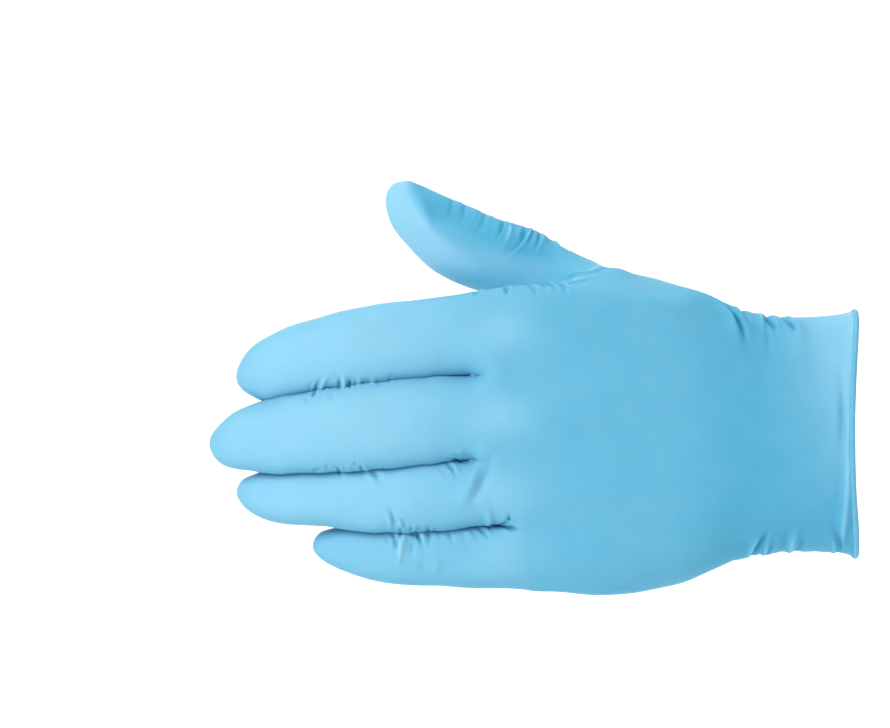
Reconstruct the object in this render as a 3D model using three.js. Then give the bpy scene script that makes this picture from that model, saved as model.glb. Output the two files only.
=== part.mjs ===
// A disposable nitrile exam glove, in the shape that it takes on a left hand.
//
// The glove is one dipped film, so it is one solid: a hollow shell from the rolled bead round the
// mouth of the cuff to five closed fingertips. The back of the hand faces -Y and the palm +Y, the
// fingers run along -X, and the thumb stands up (+Z) and lies in front of the palm. The origin is
// the centre of the cuff's mouth, where a wrist goes in along -X. All lengths are millimetres.
//
// The shape is a cage of a few four-sided faces, whose corners lie on the film. Sections round the
// cuff and the hand give the cage of the body. Its last section splits into four rings of eight
// corners, one for each finger, and an opening in its upper side carries the thumb. A smooth
// surface through the corners is the outside of the film, and the inside is the same surface
// moved in by the wall.

import * as THREE from 'three';

// The film and its bead.
const filmWall = 1.0;
const beadDiameter = 2.8;
const fingerGap = 0.5; // free space between two fingers that lie side by side
const webOpening = 1.5; // and beside the round fold of the web between them

// The cuff and the body of the glove.
const bodyLength = 124.5; // mouth of the cuff to the web between index and middle finger
const cuffBreadth = 80;
const cuffDepth = 46;
const handBreadth = 102; // widest place of the back of the hand
const handDepth = 39;
const knuckleDepth = 28;
const handDrop = 1.4; // how far the middle of the hand lies below the middle of the cuff
const webSetback = 4.5; // how far the back and the palm stop short of the webs
const mouthDip = 4; // how far the mouth's edge hangs back between its upper and lower corner
const mouthReach = 14; // how far along the cuff that is felt

// The fingers, from the web to the tip, across the back of the hand, and through it.
const indexLength = 78;
const indexWidth = 28.4;
const indexDepth = 24;
const middleLength = 86.3;
const middleWidth = 27.2;
const middleDepth = 24.5;
const ringLength = 78;
const ringWidth = 21.6;
const ringDepth = 22.5;
const littleLength = 62.7;
const littleWidth = 20.7;
const littleDepth = 20;

// The thumb, from where it clears the hand to its tip.
const thumbLength = 66;
const thumbWidth = 27;
const thumbDepth = 23;

const bodySquareness = 2.35; // exponent of a section's outline: 2 is an ellipse, more is fuller
const knuckleSwell = 1.06; // depth over a finger's root, as a share of the finger's own
const knuckleValley = 0.97; // depth between two of them
const fingerSquareness = 2.5;
const beadFacets = 8;

// Sections of the body, from the mouth to the knuckles. along is a share of bodyLength, upper and
// lower are shares of half the handBreadth above and below the cuff's middle, and back and palm
// are shares of half the handDepth behind and in front of it. spread is 0 where the corners of
// the cage are spaced evenly round the film and 1 where they line up with the fingers, drawn says
// how far the thumb draws the corners on the palm away from the upper side, and merge how far the
// section has taken on the arch of the knuckles.
const bodySections = [
  { along: 0.045, upper: 0.765, lower: 0.76, back: 1.15, palm: 1.15, spread: 0.0, drawn: 0.0, merge: 0.0 },
  { along: 0.105, upper: 0.745, lower: 0.752, back: 1.12, palm: 1.12, spread: 0.05, drawn: 0.0, merge: 0.0 },
  { along: 0.175, upper: 0.745, lower: 0.75, back: 1.09, palm: 1.1, spread: 0.12, drawn: 0.0, merge: 0.0 },
  { along: 0.245, upper: 0.753, lower: 0.766, back: 1.06, palm: 1.07, spread: 0.2, drawn: 0.02, merge: 0.0 },
  { along: 0.32, upper: 0.805, lower: 0.8, back: 1.04, palm: 1.05, spread: 0.35, drawn: 0.05, merge: 0.0 },
  { along: 0.4, upper: 0.89, lower: 0.885, back: 1.02, palm: 1.03, spread: 0.5, drawn: 0.12, merge: 0.0 },
  { along: 0.5, upper: 0.985, lower: 0.975, back: 0.99, palm: 1.0, spread: 0.65, drawn: 0.2, merge: 0.05 },
  { along: 0.64, upper: 1.03, lower: 1.015, back: 0.93, palm: 0.96, spread: 0.8, drawn: 0.24, merge: 0.25 },
  { along: 0.775, upper: 0.98, lower: 1.012, back: 0.85, palm: 0.87, spread: 0.95, drawn: 0.16, merge: 0.65 },
  { along: 0.89, upper: 0.945, lower: 0.998, back: 0.77, palm: 0.77, spread: 1.0, drawn: 0.05, merge: 0.9 },
];

// The soft forms of the palm: the ball of the thumb, the heel of the hand and the hollow between
// them. along and length are shares of bodyLength, rise and breadth are shares of handBreadth,
// and height is a share of handDepth.
const palmForms = [
  { along: 0.58, rise: 0.25, length: 0.25, breadth: 0.17, height: 0.28 },
  { along: 0.48, rise: -0.3, length: 0.24, breadth: 0.16, height: 0.09 },
  { along: 0.72, rise: -0.04, length: 0.16, breadth: 0.15, height: -0.07 },
];

// The thumb leaves the hand between the fourth and the second section from the last. Three
// corners of its opening are held: two on the wrist's side, and one beside the index finger.
// along, away and rise are shares of bodyLength, handDepth and handBreadth.
const thumbHolds = {
  nearSide: { along: 0.515, away: 0.17, rise: 0.493 },
  nearBack: { along: 0.505, away: -0.24, rise: 0.44 },
  farBack: { along: 0.77, away: -0.19, rise: 0.462 },
};
const thumbTurn = 0.85; // how far the thumb's corners are turned round it, in corners
const smoothingRounds = 400; // enough for the film at the thumb's root to settle
const smoothingStep = 0.4;

// The web beside each finger, from above the index finger to below the little finger: its
// distance from the mouth of the cuff as a share of bodyLength.
const webReach = [0.985, 1.0, 1.004, 0.925, 0.915];

// Fingers that lie side by side share the line between them. How far each such line lies above
// its place at the root, as a share of middleWidth, and where, as a share of middleLength.
const sharedLines = [
  { along: 0.0, indexMiddle: 0.0, middleRing: 0.0, ringLittle: 0.0 },
  { along: 0.134, indexMiddle: -0.024, middleRing: -0.03, ringLittle: -0.045 },
  { along: 0.286, indexMiddle: -0.064, middleRing: -0.082, ringLittle: -0.066 },
  { along: 0.438, indexMiddle: -0.118, middleRing: -0.12, ringLittle: -0.056 },
  { along: 0.59, indexMiddle: -0.194, middleRing: -0.14, ringLittle: -0.03 },
  { along: 0.742, indexMiddle: -0.284, middleRing: -0.158, ringLittle: -0.004 },
  { along: 0.894, indexMiddle: -0.368, middleRing: -0.176, ringLittle: 0.016 },
];

// Sections of the fingers. along is the share of the finger's length. upper and lower are how far
// its sides lie inside the lines beside it, as shares of its width. curl is how far it bends
// towards the palm, as a share of its length, and depth is a share of its depth. The tip's rise is
// how far it lies above the middle of the root, as a share of the width.
const indexSections = [
  { along: 0.071, upper: 0.046, lower: 0.0, curl: 0.0, depth: 1.0 },
  { along: 0.207, upper: 0.118, lower: 0.0, curl: 0.0, depth: 0.94 },
  { along: 0.362, upper: 0.166, lower: 0.0, curl: 0.004, depth: 0.93 },
  { along: 0.505, upper: 0.222, lower: 0.0, curl: 0.014, depth: 0.92 },
  { along: 0.647, upper: 0.315, lower: 0.0, curl: 0.034, depth: 0.87 },
  { along: 0.789, upper: 0.447, lower: 0.0, curl: 0.062, depth: 0.8 },
  { along: 0.9, upper: 0.615, lower: 0.035, curl: 0.09, depth: 0.65 },
  { along: 0.97, upper: 0.8, lower: 0.16, curl: 0.11, depth: 0.39 },
];
const indexTip = { rise: -0.52, curl: 0.12 };
const middleSections = [
  { along: 0.064, upper: 0.0, lower: 0.0, curl: 0.0, depth: 1.0 },
  { along: 0.21, upper: 0.0, lower: 0.0, curl: 0.0, depth: 0.95 },
  { along: 0.362, upper: 0.0, lower: 0.0, curl: 0.006, depth: 0.94 },
  { along: 0.514, upper: 0.0, lower: 0.0, curl: 0.02, depth: 0.93 },
  { along: 0.654, upper: 0.0, lower: 0.0, curl: 0.042, depth: 0.87 },
  { along: 0.783, upper: 0.0, lower: 0.0, curl: 0.07, depth: 0.8 },
  { along: 0.9, upper: 0.052, lower: 0.03, curl: 0.1, depth: 0.66 },
  { along: 0.969, upper: 0.2, lower: 0.15, curl: 0.121, depth: 0.4 },
];
const middleTip = { rise: -0.322, curl: 0.13 };
const ringSections = [
  { along: 0.071, upper: 0.0, lower: 0.0, curl: 0.006, depth: 1.0 },
  { along: 0.22, upper: 0.0, lower: 0.0, curl: 0.016, depth: 0.95 },
  { along: 0.375, upper: 0.0, lower: 0.0, curl: 0.034, depth: 0.94 },
  { along: 0.53, upper: 0.0, lower: 0.0, curl: 0.06, depth: 0.93 },
  { along: 0.686, upper: 0.0, lower: 0.0, curl: 0.092, depth: 0.88 },
  { along: 0.821, upper: 0.0, lower: 0.01, curl: 0.124, depth: 0.79 },
  { along: 0.918, upper: 0.035, lower: 0.1, curl: 0.15, depth: 0.64 },
  { along: 0.974, upper: 0.12, lower: 0.25, curl: 0.167, depth: 0.4 },
];
const ringTip = { rise: -0.04, curl: 0.176 };
const littleSections = [
  { along: 0.074, upper: 0.0, lower: 0.0, curl: 0.01, depth: 1.0 },
  { along: 0.219, upper: 0.0, lower: 0.008, curl: 0.026, depth: 0.96 },
  { along: 0.38, upper: 0.0, lower: 0.02, curl: 0.048, depth: 0.93 },
  { along: 0.541, upper: 0.0, lower: 0.045, curl: 0.076, depth: 0.92 },
  { along: 0.702, upper: 0.0, lower: 0.125, curl: 0.108, depth: 0.87 },
  { along: 0.847, upper: 0.02, lower: 0.26, curl: 0.14, depth: 0.76 },
  { along: 0.952, upper: 0.1, lower: 0.42, curl: 0.165, depth: 0.52 },
];
const littleTip = { rise: 0.13, curl: 0.18 };

// The fingers in order from the thumb's side. arch is how far the root lies towards the palm,
// as a share of knuckleDepth: the four roots stand in an arch across the hand.
const fingers = [
  { length: indexLength, width: indexWidth, depth: indexDepth, arch: 0.0 },
  { length: middleLength, width: middleWidth, depth: middleDepth, arch: -0.06 },
  { length: ringLength, width: ringWidth, depth: ringDepth, arch: 0.0 },
  { length: littleLength, width: littleWidth, depth: littleDepth, arch: 0.1 },
];
const fingerSections = [indexSections, middleSections, ringSections, littleSections];
const fingerTips = [indexTip, middleTip, ringTip, littleTip];

// Sections of the thumb. reach, away and rise are how far its middle lies towards the fingers,
// in front of the palm and upwards from its first section, as shares of thumbLength. width and
// depth are shares of thumbWidth and thumbDepth.
const thumbRows = [
  { reach: 0.0, away: 0.0, rise: 0.0, width: 0.95, depth: 1.0 },
  { reach: 0.167, away: 0.061, rise: 0.091, width: 0.97, depth: 0.955 },
  { reach: 0.333, away: 0.114, rise: 0.159, width: 0.93, depth: 0.93 },
  { reach: 0.503, away: 0.159, rise: 0.239, width: 0.904, depth: 0.91 },
  { reach: 0.652, away: 0.189, rise: 0.335, width: 0.773, depth: 0.8 },
  { reach: 0.732, away: 0.205, rise: 0.414, width: 0.638, depth: 0.61 },
  { reach: 0.78, away: 0.212, rise: 0.477, width: 0.46, depth: 0.4 },
];
const thumbTip = { reach: 0.818, away: 0.22, rise: 0.523 };
// Where the thumb's first section stands: shares of bodyLength, handDepth and handBreadth.
const thumbRoot = { along: 0.787, away: 0.72, rise: 0.482 };

// Folds and dents of the film, each straight from one place to another on the side that looks
// to the back. along and rise are shares of bodyLength and handBreadth, and width and height are
// shares of foldWidth and foldHeight: below 0 is a dent. By the thumb's side of the wrist, by the
// little finger's side of it, at the roots of the fingers, across the fingers, and on the thumb.
const foldWidth = 3.6; // from the middle of a fold to where little of it is left
const foldHeight = 1.3;
const folds = [
  { along: 0.348, rise: 0.4, toAlong: 0.298, toRise: 0.255, width: 1.0, height: -1.0 },
  { along: 0.4, rise: 0.385, toAlong: 0.345, toRise: 0.25, width: 1.0, height: 0.6 },
  { along: 0.235, rise: 0.372, toAlong: 0.19, toRise: 0.31, width: 0.9, height: -0.7 },
  { along: 0.275, rise: -0.4, toAlong: 0.235, toRise: -0.28, width: 1.0, height: -1.0 },
  { along: 0.18, rise: -0.36, toAlong: 0.13, toRise: -0.25, width: 1.0, height: 0.6 },
  { along: 0.055, rise: -0.37, toAlong: 0.08, toRise: -0.27, width: 1.0, height: -0.6 },
  { along: 0.985, rise: -0.08, toAlong: 1.06, toRise: -0.15, width: 1.0, height: 0.6 },
  { along: 0.95, rise: -0.1, toAlong: 1.0, toRise: -0.21, width: 1.1, height: -0.7 },
  { along: 0.99, rise: -0.31, toAlong: 0.93, toRise: -0.28, width: 1.0, height: -0.6 },
  { along: 1.34, rise: 0.18, toAlong: 1.3, toRise: 0.25, width: 1.1, height: 0.5 },
  { along: 1.26, rise: -0.13, toAlong: 1.2, toRise: -0.28, width: 1.1, height: -0.6 },
  { along: 1.17, rise: -0.32, toAlong: 1.19, toRise: -0.45, width: 1.1, height: 0.5 },
  { along: 0.86, rise: 0.64, toAlong: 0.925, toRise: 0.56, width: 1.0, height: -0.8 },
  { along: 0.9, rise: 0.66, toAlong: 0.96, toRise: 0.59, width: 1.0, height: 0.7 },
  { along: 0.81, rise: 0.63, toAlong: 0.85, toRise: 0.56, width: 1.0, height: -0.7 },
];

// Columns of the body's cage: nine across the back, one at the little finger's side, nine across
// the palm, and one at the thumb's side. The even columns of the back line up with the webs.
const backColumns = 9;
const sideBelow = backColumns;
const palmEnd = 2 * backColumns;
const sideAbove = palmEnd + 1;
const bodyColumns = palmEnd + 2;
const paleBlue = new THREE.Color(0x7fcdf2);

const mix = (a, b, t) => a + (b - a) * t;
const signedPower = (value, power) => Math.sign(value) * Math.abs(value) ** power;

// How deep a superellipse of depth 1 is at a share of its half breadth.
function crown(share, squareness) {
  return Math.max(0, 1 - Math.abs(share) ** squareness) ** (1 / squareness);
}

// The point at an angle round a superellipse, 0 at its upper side and 90 degrees at the back.
function roundPoint(angle, halfWidth, halfDepth, squareness) {
  return {
    across: halfWidth * signedPower(Math.cos(angle), 2 / squareness),
    through: -halfDepth * signedPower(Math.sin(angle), 2 / squareness),
  };
}

// Heights of the four finger roots above the cuff's middle, stacked with the gap between them.
function rootHeights() {
  const total = fingers.reduce((sum, finger) => sum + finger.width, 0);
  let edge = total / 2 - handDrop;
  return fingers.map((finger) => {
    const middle = edge - finger.width / 2;
    edge -= finger.width;
    return middle;
  });
}

const roots = rootHeights();
const rootDepths = fingers.map((finger) => finger.arch * knuckleDepth);

// The five lines between and beside the fingers at their roots.
const seamHeights = [
  roots[0] + fingers[0].width / 2,
  ...fingers.map((finger, i) => roots[i] - finger.width / 2),
];

// Heights of the nine columns across the back where they line up with the fingers, as shares of
// half the section's breadth: the outer two stand in from the edge by the outline's roundness.
function columnShares() {
  const top = seamHeights[0];
  const bottom = seamHeights[fingers.length];
  const middle = (top + bottom) / 2;
  const half = (top - bottom) / 2;
  const corner = Math.SQRT1_2 ** (2 / fingerSquareness);
  const shares = [];
  fingers.forEach((finger, i) => {
    const upper = i === 0 ? roots[0] + (corner * finger.width) / 2 : seamHeights[i];
    shares.push((upper - middle) / half, (roots[i] - middle) / half);
  });
  const last = fingers.length - 1;
  shares.push((roots[last] - (corner * fingers[last].width) / 2 - middle) / half);
  return shares;
}

// The distance of each column from the mouth where the back of the hand ends.
function columnReach() {
  const seams = webReach.map((share) => share * bodyLength - webSetback);
  return Array.from({ length: backColumns }, (_, column) => {
    const below = Math.floor(column / 2);
    return column % 2 ? (seams[below] + seams[below + 1]) / 2 : seams[below];
  });
}

// A mesh of four-sided faces under construction.
function emptyCage() {
  return { points: [], faces: [] };
}

function addPoint(cage, x, y, z) {
  cage.points.push(new THREE.Vector3(x, y, z));
  return cage.points.length - 1;
}

// Joins two rings of the same number of corners with faces that look outwards.
function joinRings(cage, near, far) {
  near.forEach((corner, i) => {
    const next = (i + 1) % near.length;
    cage.faces.push([corner, far[i], far[next], near[next]]);
  });
}

// Closes the end of a ring of eight corners with four faces round one point.
function closeTip(cage, ring, tip) {
  for (let i = 0; i < ring.length; i += 2) {
    cage.faces.push([ring[i], tip, ring[(i + 2) % ring.length], ring[i + 1]]);
  }
}

// How far the soft forms raise the palm at a place.
function palmForm(x, z) {
  return palmForms.reduce((sum, form) => {
    const lengthwise = (-x - form.along * bodyLength) / (form.length * bodyLength);
    const crosswise = (z - form.rise * handBreadth) / (form.breadth * handBreadth);
    return sum + form.height * handDepth * Math.exp(-(lengthwise ** 2) - crosswise ** 2);
  }, 0);
}

// How far the back and the palm lie from the cuff's middle at the roots of the fingers, for each
// column: each finger is a low swell between two shallow valleys.
function knuckleArch() {
  const last = fingers.length - 1;
  const round = Math.SQRT1_2 ** (2 / fingerSquareness);
  return Array.from({ length: backColumns }, (_, column) => {
    const above = Math.max(0, Math.ceil(column / 2) - 1);
    const below = Math.min(last, Math.floor(column / 2));
    const centre = (rootDepths[above] + rootDepths[below]) / 2;
    const depth = (fingers[above].depth + fingers[below].depth) / 4;
    const edge = column === 0 || column === backColumns - 1;
    let fullness = column % 2 ? knuckleSwell : knuckleValley;
    if (edge) fullness = round;
    return { back: centre - depth * fullness, palm: centre + depth * fullness };
  });
}

const shares = columnShares();
const reach = columnReach();
const arch = knuckleArch();

// One section round the cuff or the hand, as the numbers of its corners.
function addBodySection(cage, row) {
  const breadth = handBreadth / 2;
  const upper = row.upper * breadth;
  const lower = row.lower * breadth;
  const middle = (upper - lower) / 2;
  const half = (upper + lower) / 2;
  const ending = row.along ** 3; // the sections lean over to the slant of the knuckles
  const corners = [];
  for (let column = 0; column < bodyColumns; column += 1) {
    const back = column < backColumns;
    const palm = column > sideBelow && column <= palmEnd;
    const across = back ? column : palmEnd - column;
    const even = Math.cos((Math.PI * (across + 1)) / (backColumns + 1));
    let share = column === sideAbove ? 1 : -1;
    if (back || palm) share = mix(even, shares[across], row.spread);
    if (palm && share > 0) share *= 1 - row.drawn;
    const straight = row.along * bodyLength;
    const side = column === sideAbove ? 0 : backColumns - 1;
    const slanted = row.along * (reach[back || palm ? across : side] + webSetback);
    const dip = mouthDip * (1 - share * share) * Math.exp(-straight / mouthReach);
    const x = -mix(straight, slanted, ending) - dip;
    const z = middle + half * share;
    const depth = (crown(share, mix(2, bodySquareness, row.spread)) * handDepth) / 2;
    const swell = handDepth / knuckleDepth;
    let y = 0;
    if (back) y = mix(-depth, arch[across].back * swell, row.merge) * row.back;
    if (palm) y = mix(depth, arch[across].palm * swell, row.merge) * row.palm + palmForm(x, z);
    corners.push(addPoint(cage, x, y, z));
  }
  return corners;
}

// The last section of the body, whose corners lie on the roots of the fingers.
function addKnuckles(cage) {
  const corners = [];
  const last = fingers.length - 1;
  const middle = (seamHeights[0] + seamHeights[fingers.length]) / 2;
  const half = (seamHeights[0] - seamHeights[fingers.length]) / 2;
  for (let column = 0; column < bodyColumns; column += 1) {
    const back = column < backColumns;
    const palm = column > sideBelow && column <= palmEnd;
    if (back || palm) {
      const across = back ? column : palmEnd - column;
      const y = back ? arch[across].back : arch[across].palm;
      corners.push(addPoint(cage, -reach[across], y, middle + half * shares[across]));
    } else {
      const first = column === sideAbove;
      const reached = reach[first ? 0 : backColumns - 1];
      const y = rootDepths[first ? 0 : last];
      corners.push(addPoint(cage, -reached, y, middle + (first ? half : -half)));
    }
  }
  return corners;
}

// One web between two fingers: the middle of the fold that both share.
function addWebs(cage) {
  return webReach.slice(1, -1).map((share, i) => {
    const centre = (rootDepths[i] + rootDepths[i + 1]) / 2;
    return addPoint(cage, -share * bodyLength, centre, seamHeights[i + 1]);
  });
}

// The ring of eight corners on which a finger stands, from its upper side round by the back.
function fingerRoot(knuckles, webs, i) {
  const first = 2 * i;
  const upper = i === 0 ? knuckles[sideAbove] : webs[i - 1];
  const lower = i === fingers.length - 1 ? knuckles[sideBelow] : webs[i];
  const palm = (column) => knuckles[palmEnd - column];
  return [
    upper, knuckles[first], knuckles[first + 1], knuckles[first + 2],
    lower, palm(first + 2), palm(first + 1), palm(first),
  ];
}

// How high the line beside a finger lies at a distance beyond the webs: a smooth curve through
// sharedLines between two fingers, and straight on from the root beside the outer two.
function lineHeight(line, beyond) {
  const column = ['indexMiddle', 'middleRing', 'ringLittle'][line - 1];
  if (!column) return seamHeights[line];
  const at = beyond / middleLength;
  const after = sharedLines.findIndex((row) => row.along > at);
  const k = after < 0 ? sharedLines.length - 1 : Math.max(1, after);
  const [p, q] = [sharedLines[k - 1], sharedLines[k]];
  const slope = (first, last) => (last[column] - first[column]) / (last.along - first.along);
  const entering = slope(sharedLines[Math.max(0, k - 2)], q);
  const leaving = slope(p, sharedLines[Math.min(sharedLines.length - 1, k + 1)]);
  const span = q.along - p.along;
  const t = (at - p.along) / span;
  const drift = (1 + 2 * t) * (1 - t) ** 2 * p[column] + t * (1 - t) ** 2 * span * entering
    + t * t * (3 - 2 * t) * q[column] + t * t * (t - 1) * span * leaving;
  return seamHeights[line] + drift * middleWidth;
}

function addFinger(cage, root, i) {
  const finger = fingers[i];
  const webs = [webReach[i] * bodyLength, webReach[i + 1] * bodyLength];
  const rootReach = Math.max(...webs);
  let ring = root;
  fingerSections[i].forEach((row, k) => {
    const opening = k === 0 ? webOpening : fingerGap; // the web is a round fold, wider than the gap
    const beyond = mix((webs[0] + webs[1]) / 2, rootReach + finger.length, row.along) - bodyLength;
    const top = lineHeight(i, beyond) - row.upper * finger.width - opening / 2;
    const bottom = lineHeight(i + 1, beyond) + row.lower * finger.width + opening / 2;
    const middle = (top + bottom) / 2;
    const halfWidth = (top - bottom) / 2;
    const halfDepth = (row.depth * finger.depth) / 2;
    const next = root.map((_, j) => {
      const angle = (2 * Math.PI * j) / root.length;
      const { across, through } = roundPoint(angle, halfWidth, halfDepth, fingerSquareness);
      const start = mix(webs[1], webs[0], (1 + across / halfWidth) / 2);
      const x = -mix(start, rootReach + finger.length, row.along);
      return addPoint(cage, x, rootDepths[i] + row.curl * finger.length + through, middle + across);
    });
    joinRings(cage, ring, next);
    ring = next;
  });
  const { rise, curl } = fingerTips[i];
  const tipDepth = rootDepths[i] + curl * finger.length;
  const tipHeight = roots[i] + rise * finger.width;
  closeTip(cage, ring, addPoint(cage, -rootReach - finger.length, tipDepth, tipHeight));
}

// The middle of a section of the thumb.
function thumbMiddle(row) {
  return new THREE.Vector3(
    -thumbRoot.along * bodyLength - row.reach * thumbLength,
    thumbRoot.away * handDepth + row.away * thumbLength,
    thumbRoot.rise * handBreadth + row.rise * thumbLength,
  );
}

// The thumb grows from the opening in the body's upper side, whose ring of eight corners runs
// from the wrist's side round by the back.
function addThumb(cage, opening) {
  const middles = thumbRows.map(thumbMiddle);
  const tip = thumbMiddle(thumbTip);
  const sections = thumbRows.map((row, k) => {
    const before = middles[Math.max(0, k - 1)];
    const after = middles[k + 1] ?? tip;
    const along = after.clone().sub(before);
    const outwards = new THREE.Vector3(-along.z, 0, along.x).negate().normalize();
    const through = new THREE.Vector3().crossVectors(along, outwards).normalize();
    return opening.map((_, j) => {
      const angle = (2 * Math.PI * (j - thumbTurn)) / opening.length;
      const half = [(row.width * thumbWidth) / 2, (row.depth * thumbDepth) / 2];
      const point = roundPoint(angle, half[0], half[1], fingerSquareness);
      const sideways = middles[k].clone().addScaledVector(outwards, point.across);
      return sideways.addScaledVector(through, point.through);
    });
  });
  const joint = sections[0].map((point, j) => point.clone().add(cage.points[opening[j]]).multiplyScalar(0.5));
  const rings = [joint, ...sections].map((section) => section.map(({ x, y, z }) => addPoint(cage, x, y, z)));
  [opening, ...rings.slice(0, -1)].forEach((ring, k) => joinRings(cage, ring, rings[k]));
  closeTip(cage, rings.at(-1), addPoint(cage, tip.x, tip.y, tip.z));
  return rings[0];
}

// The whole cage, and the ring of corners round the mouth of the cuff.
function buildCage() {
  const cage = emptyCage();
  const mouthRow = {
    along: beadDiameter / 2 / bodyLength,
    upper: cuffBreadth / handBreadth,
    lower: cuffBreadth / handBreadth,
    back: cuffDepth / handDepth,
    palm: cuffDepth / handDepth,
    spread: 0,
    drawn: 0,
    merge: 0,
  };
  const sections = [mouthRow, ...bodySections].map((row) => addBodySection(cage, row));
  const knuckles = addKnuckles(cage);
  const rings = [...sections, knuckles];
  const far = bodySections.length - 1;
  const near = far - 2;
  for (let k = 0; k + 1 < rings.length; k += 1) {
    for (let column = 0; column < bodyColumns; column += 1) {
      const next = (column + 1) % bodyColumns;
      const besideThumb = column >= palmEnd && k >= near && k < far;
      if (besideThumb) continue;
      cage.faces.push([rings[k][column], rings[k + 1][column], rings[k + 1][next], rings[k][next]]);
    }
  }
  const [a, b, c] = [rings[near], rings[far - 1], rings[far]];
  const corners = {
    nearSide: a[sideAbove],
    nearBack: a[0],
    middleBack: b[0],
    farBack: c[0],
    farSide: c[sideAbove],
    farPalm: c[palmEnd],
    middlePalm: b[palmEnd],
    nearPalm: a[palmEnd],
  };
  const opening = Object.values(corners);
  const held = Object.entries(thumbHolds).map(([name, { along, away, rise }]) => {
    cage.points[corners[name]].set(-along * bodyLength, away * handDepth, rise * handBreadth);
    return corners[name];
  });
  const joint = addThumb(cage, opening);
  const besideRoot = [a, b, c].map((ring) => ring[palmEnd - 1]);
  const free = [...opening.filter((corner) => !held.includes(corner)), ...joint, ...besideRoot];
  const webs = addWebs(cage);
  fingers.forEach((_, i) => addFinger(cage, fingerRoot(knuckles, webs, i), i));
  settle(cage, free);
  return { ...withoutLoosePoints(cage), mouth: rings[0] };
}

// Lets some corners move until the film between the others bends as little as it can.
function settle(cage, free) {
  const around = neighbourhoods(cage).map(({ edges }) => [...edges]);
  const offset = (values, corner) => {
    const mean = new THREE.Vector3();
    around[corner].forEach((other) => mean.addScaledVector(values[other], 1 / around[corner].length));
    return mean.sub(values[corner]);
  };
  const touched = [...new Set([...free, ...free.flatMap((corner) => around[corner])])];
  const bends = [];
  for (let round = 0; round < smoothingRounds; round += 1) {
    touched.forEach((corner) => {
      bends[corner] = offset(cage.points, corner);
    });
    const steps = free.map((corner) => offset(bends, corner));
    free.forEach((corner, i) => cage.points[corner].addScaledVector(steps[i], -smoothingStep));
  }
}

// The thumb's opening leaves one corner that no face uses.
function withoutLoosePoints(cage) {
  const used = [...new Set(cage.faces.flat())].sort((p, q) => p - q);
  const renumbered = new Map(used.map((old, i) => [old, i]));
  return {
    points: used.map((old) => cage.points[old]),
    faces: cage.faces.map((face) => face.map((corner) => renumbered.get(corner))),
  };
}

// Each point's neighbours along edges and across faces, and its neighbours round an open edge.
function neighbourhoods(cage) {
  const around = cage.points.map(() => ({ edges: new Set(), diagonals: [], open: [] }));
  const seen = new Map();
  cage.faces.forEach((face) => face.forEach((corner, i) => {
    const next = face[(i + 1) % 4];
    around[corner].edges.add(next);
    around[next].edges.add(corner);
    around[corner].diagonals.push(face[(i + 2) % 4]);
    const key = Math.min(corner, next) + ' ' + Math.max(corner, next);
    seen.set(key, (seen.get(key) ?? 0) + 1);
  }));
  seen.forEach((count, key) => {
    if (count > 1) return;
    const [p, q] = key.split(' ').map(Number);
    around[p].open.push(q);
    around[q].open.push(p);
  });
  return around;
}

// Where the smooth surface of a cage passes each of its corners.
function surfacePoint(points, corner, around) {
  const { edges, diagonals, open } = around[corner];
  const result = new THREE.Vector3();
  if (open.length === 2) {
    result.addScaledVector(points[corner], 4).add(points[open[0]]).add(points[open[1]]);
    return result.divideScalar(6);
  }
  const n = edges.size;
  result.addScaledVector(points[corner], n * n);
  edges.forEach((other) => result.addScaledVector(points[other], 4));
  diagonals.forEach((other) => result.add(points[other]));
  return result.divideScalar(n * (n + 5));
}

// Moves the corners out until the smooth surface passes through the places that they had.
function fitCage(cage) {
  const rounds = 14;
  const around = neighbourhoods(cage);
  const targets = cage.points.map((point) => point.clone());
  for (let round = 0; round < rounds; round += 1) {
    const passes = cage.points.map((_, corner) => surfacePoint(cage.points, corner, around));
    cage.points.forEach((point, corner) => point.add(targets[corner]).sub(passes[corner]));
  }
}

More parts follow.
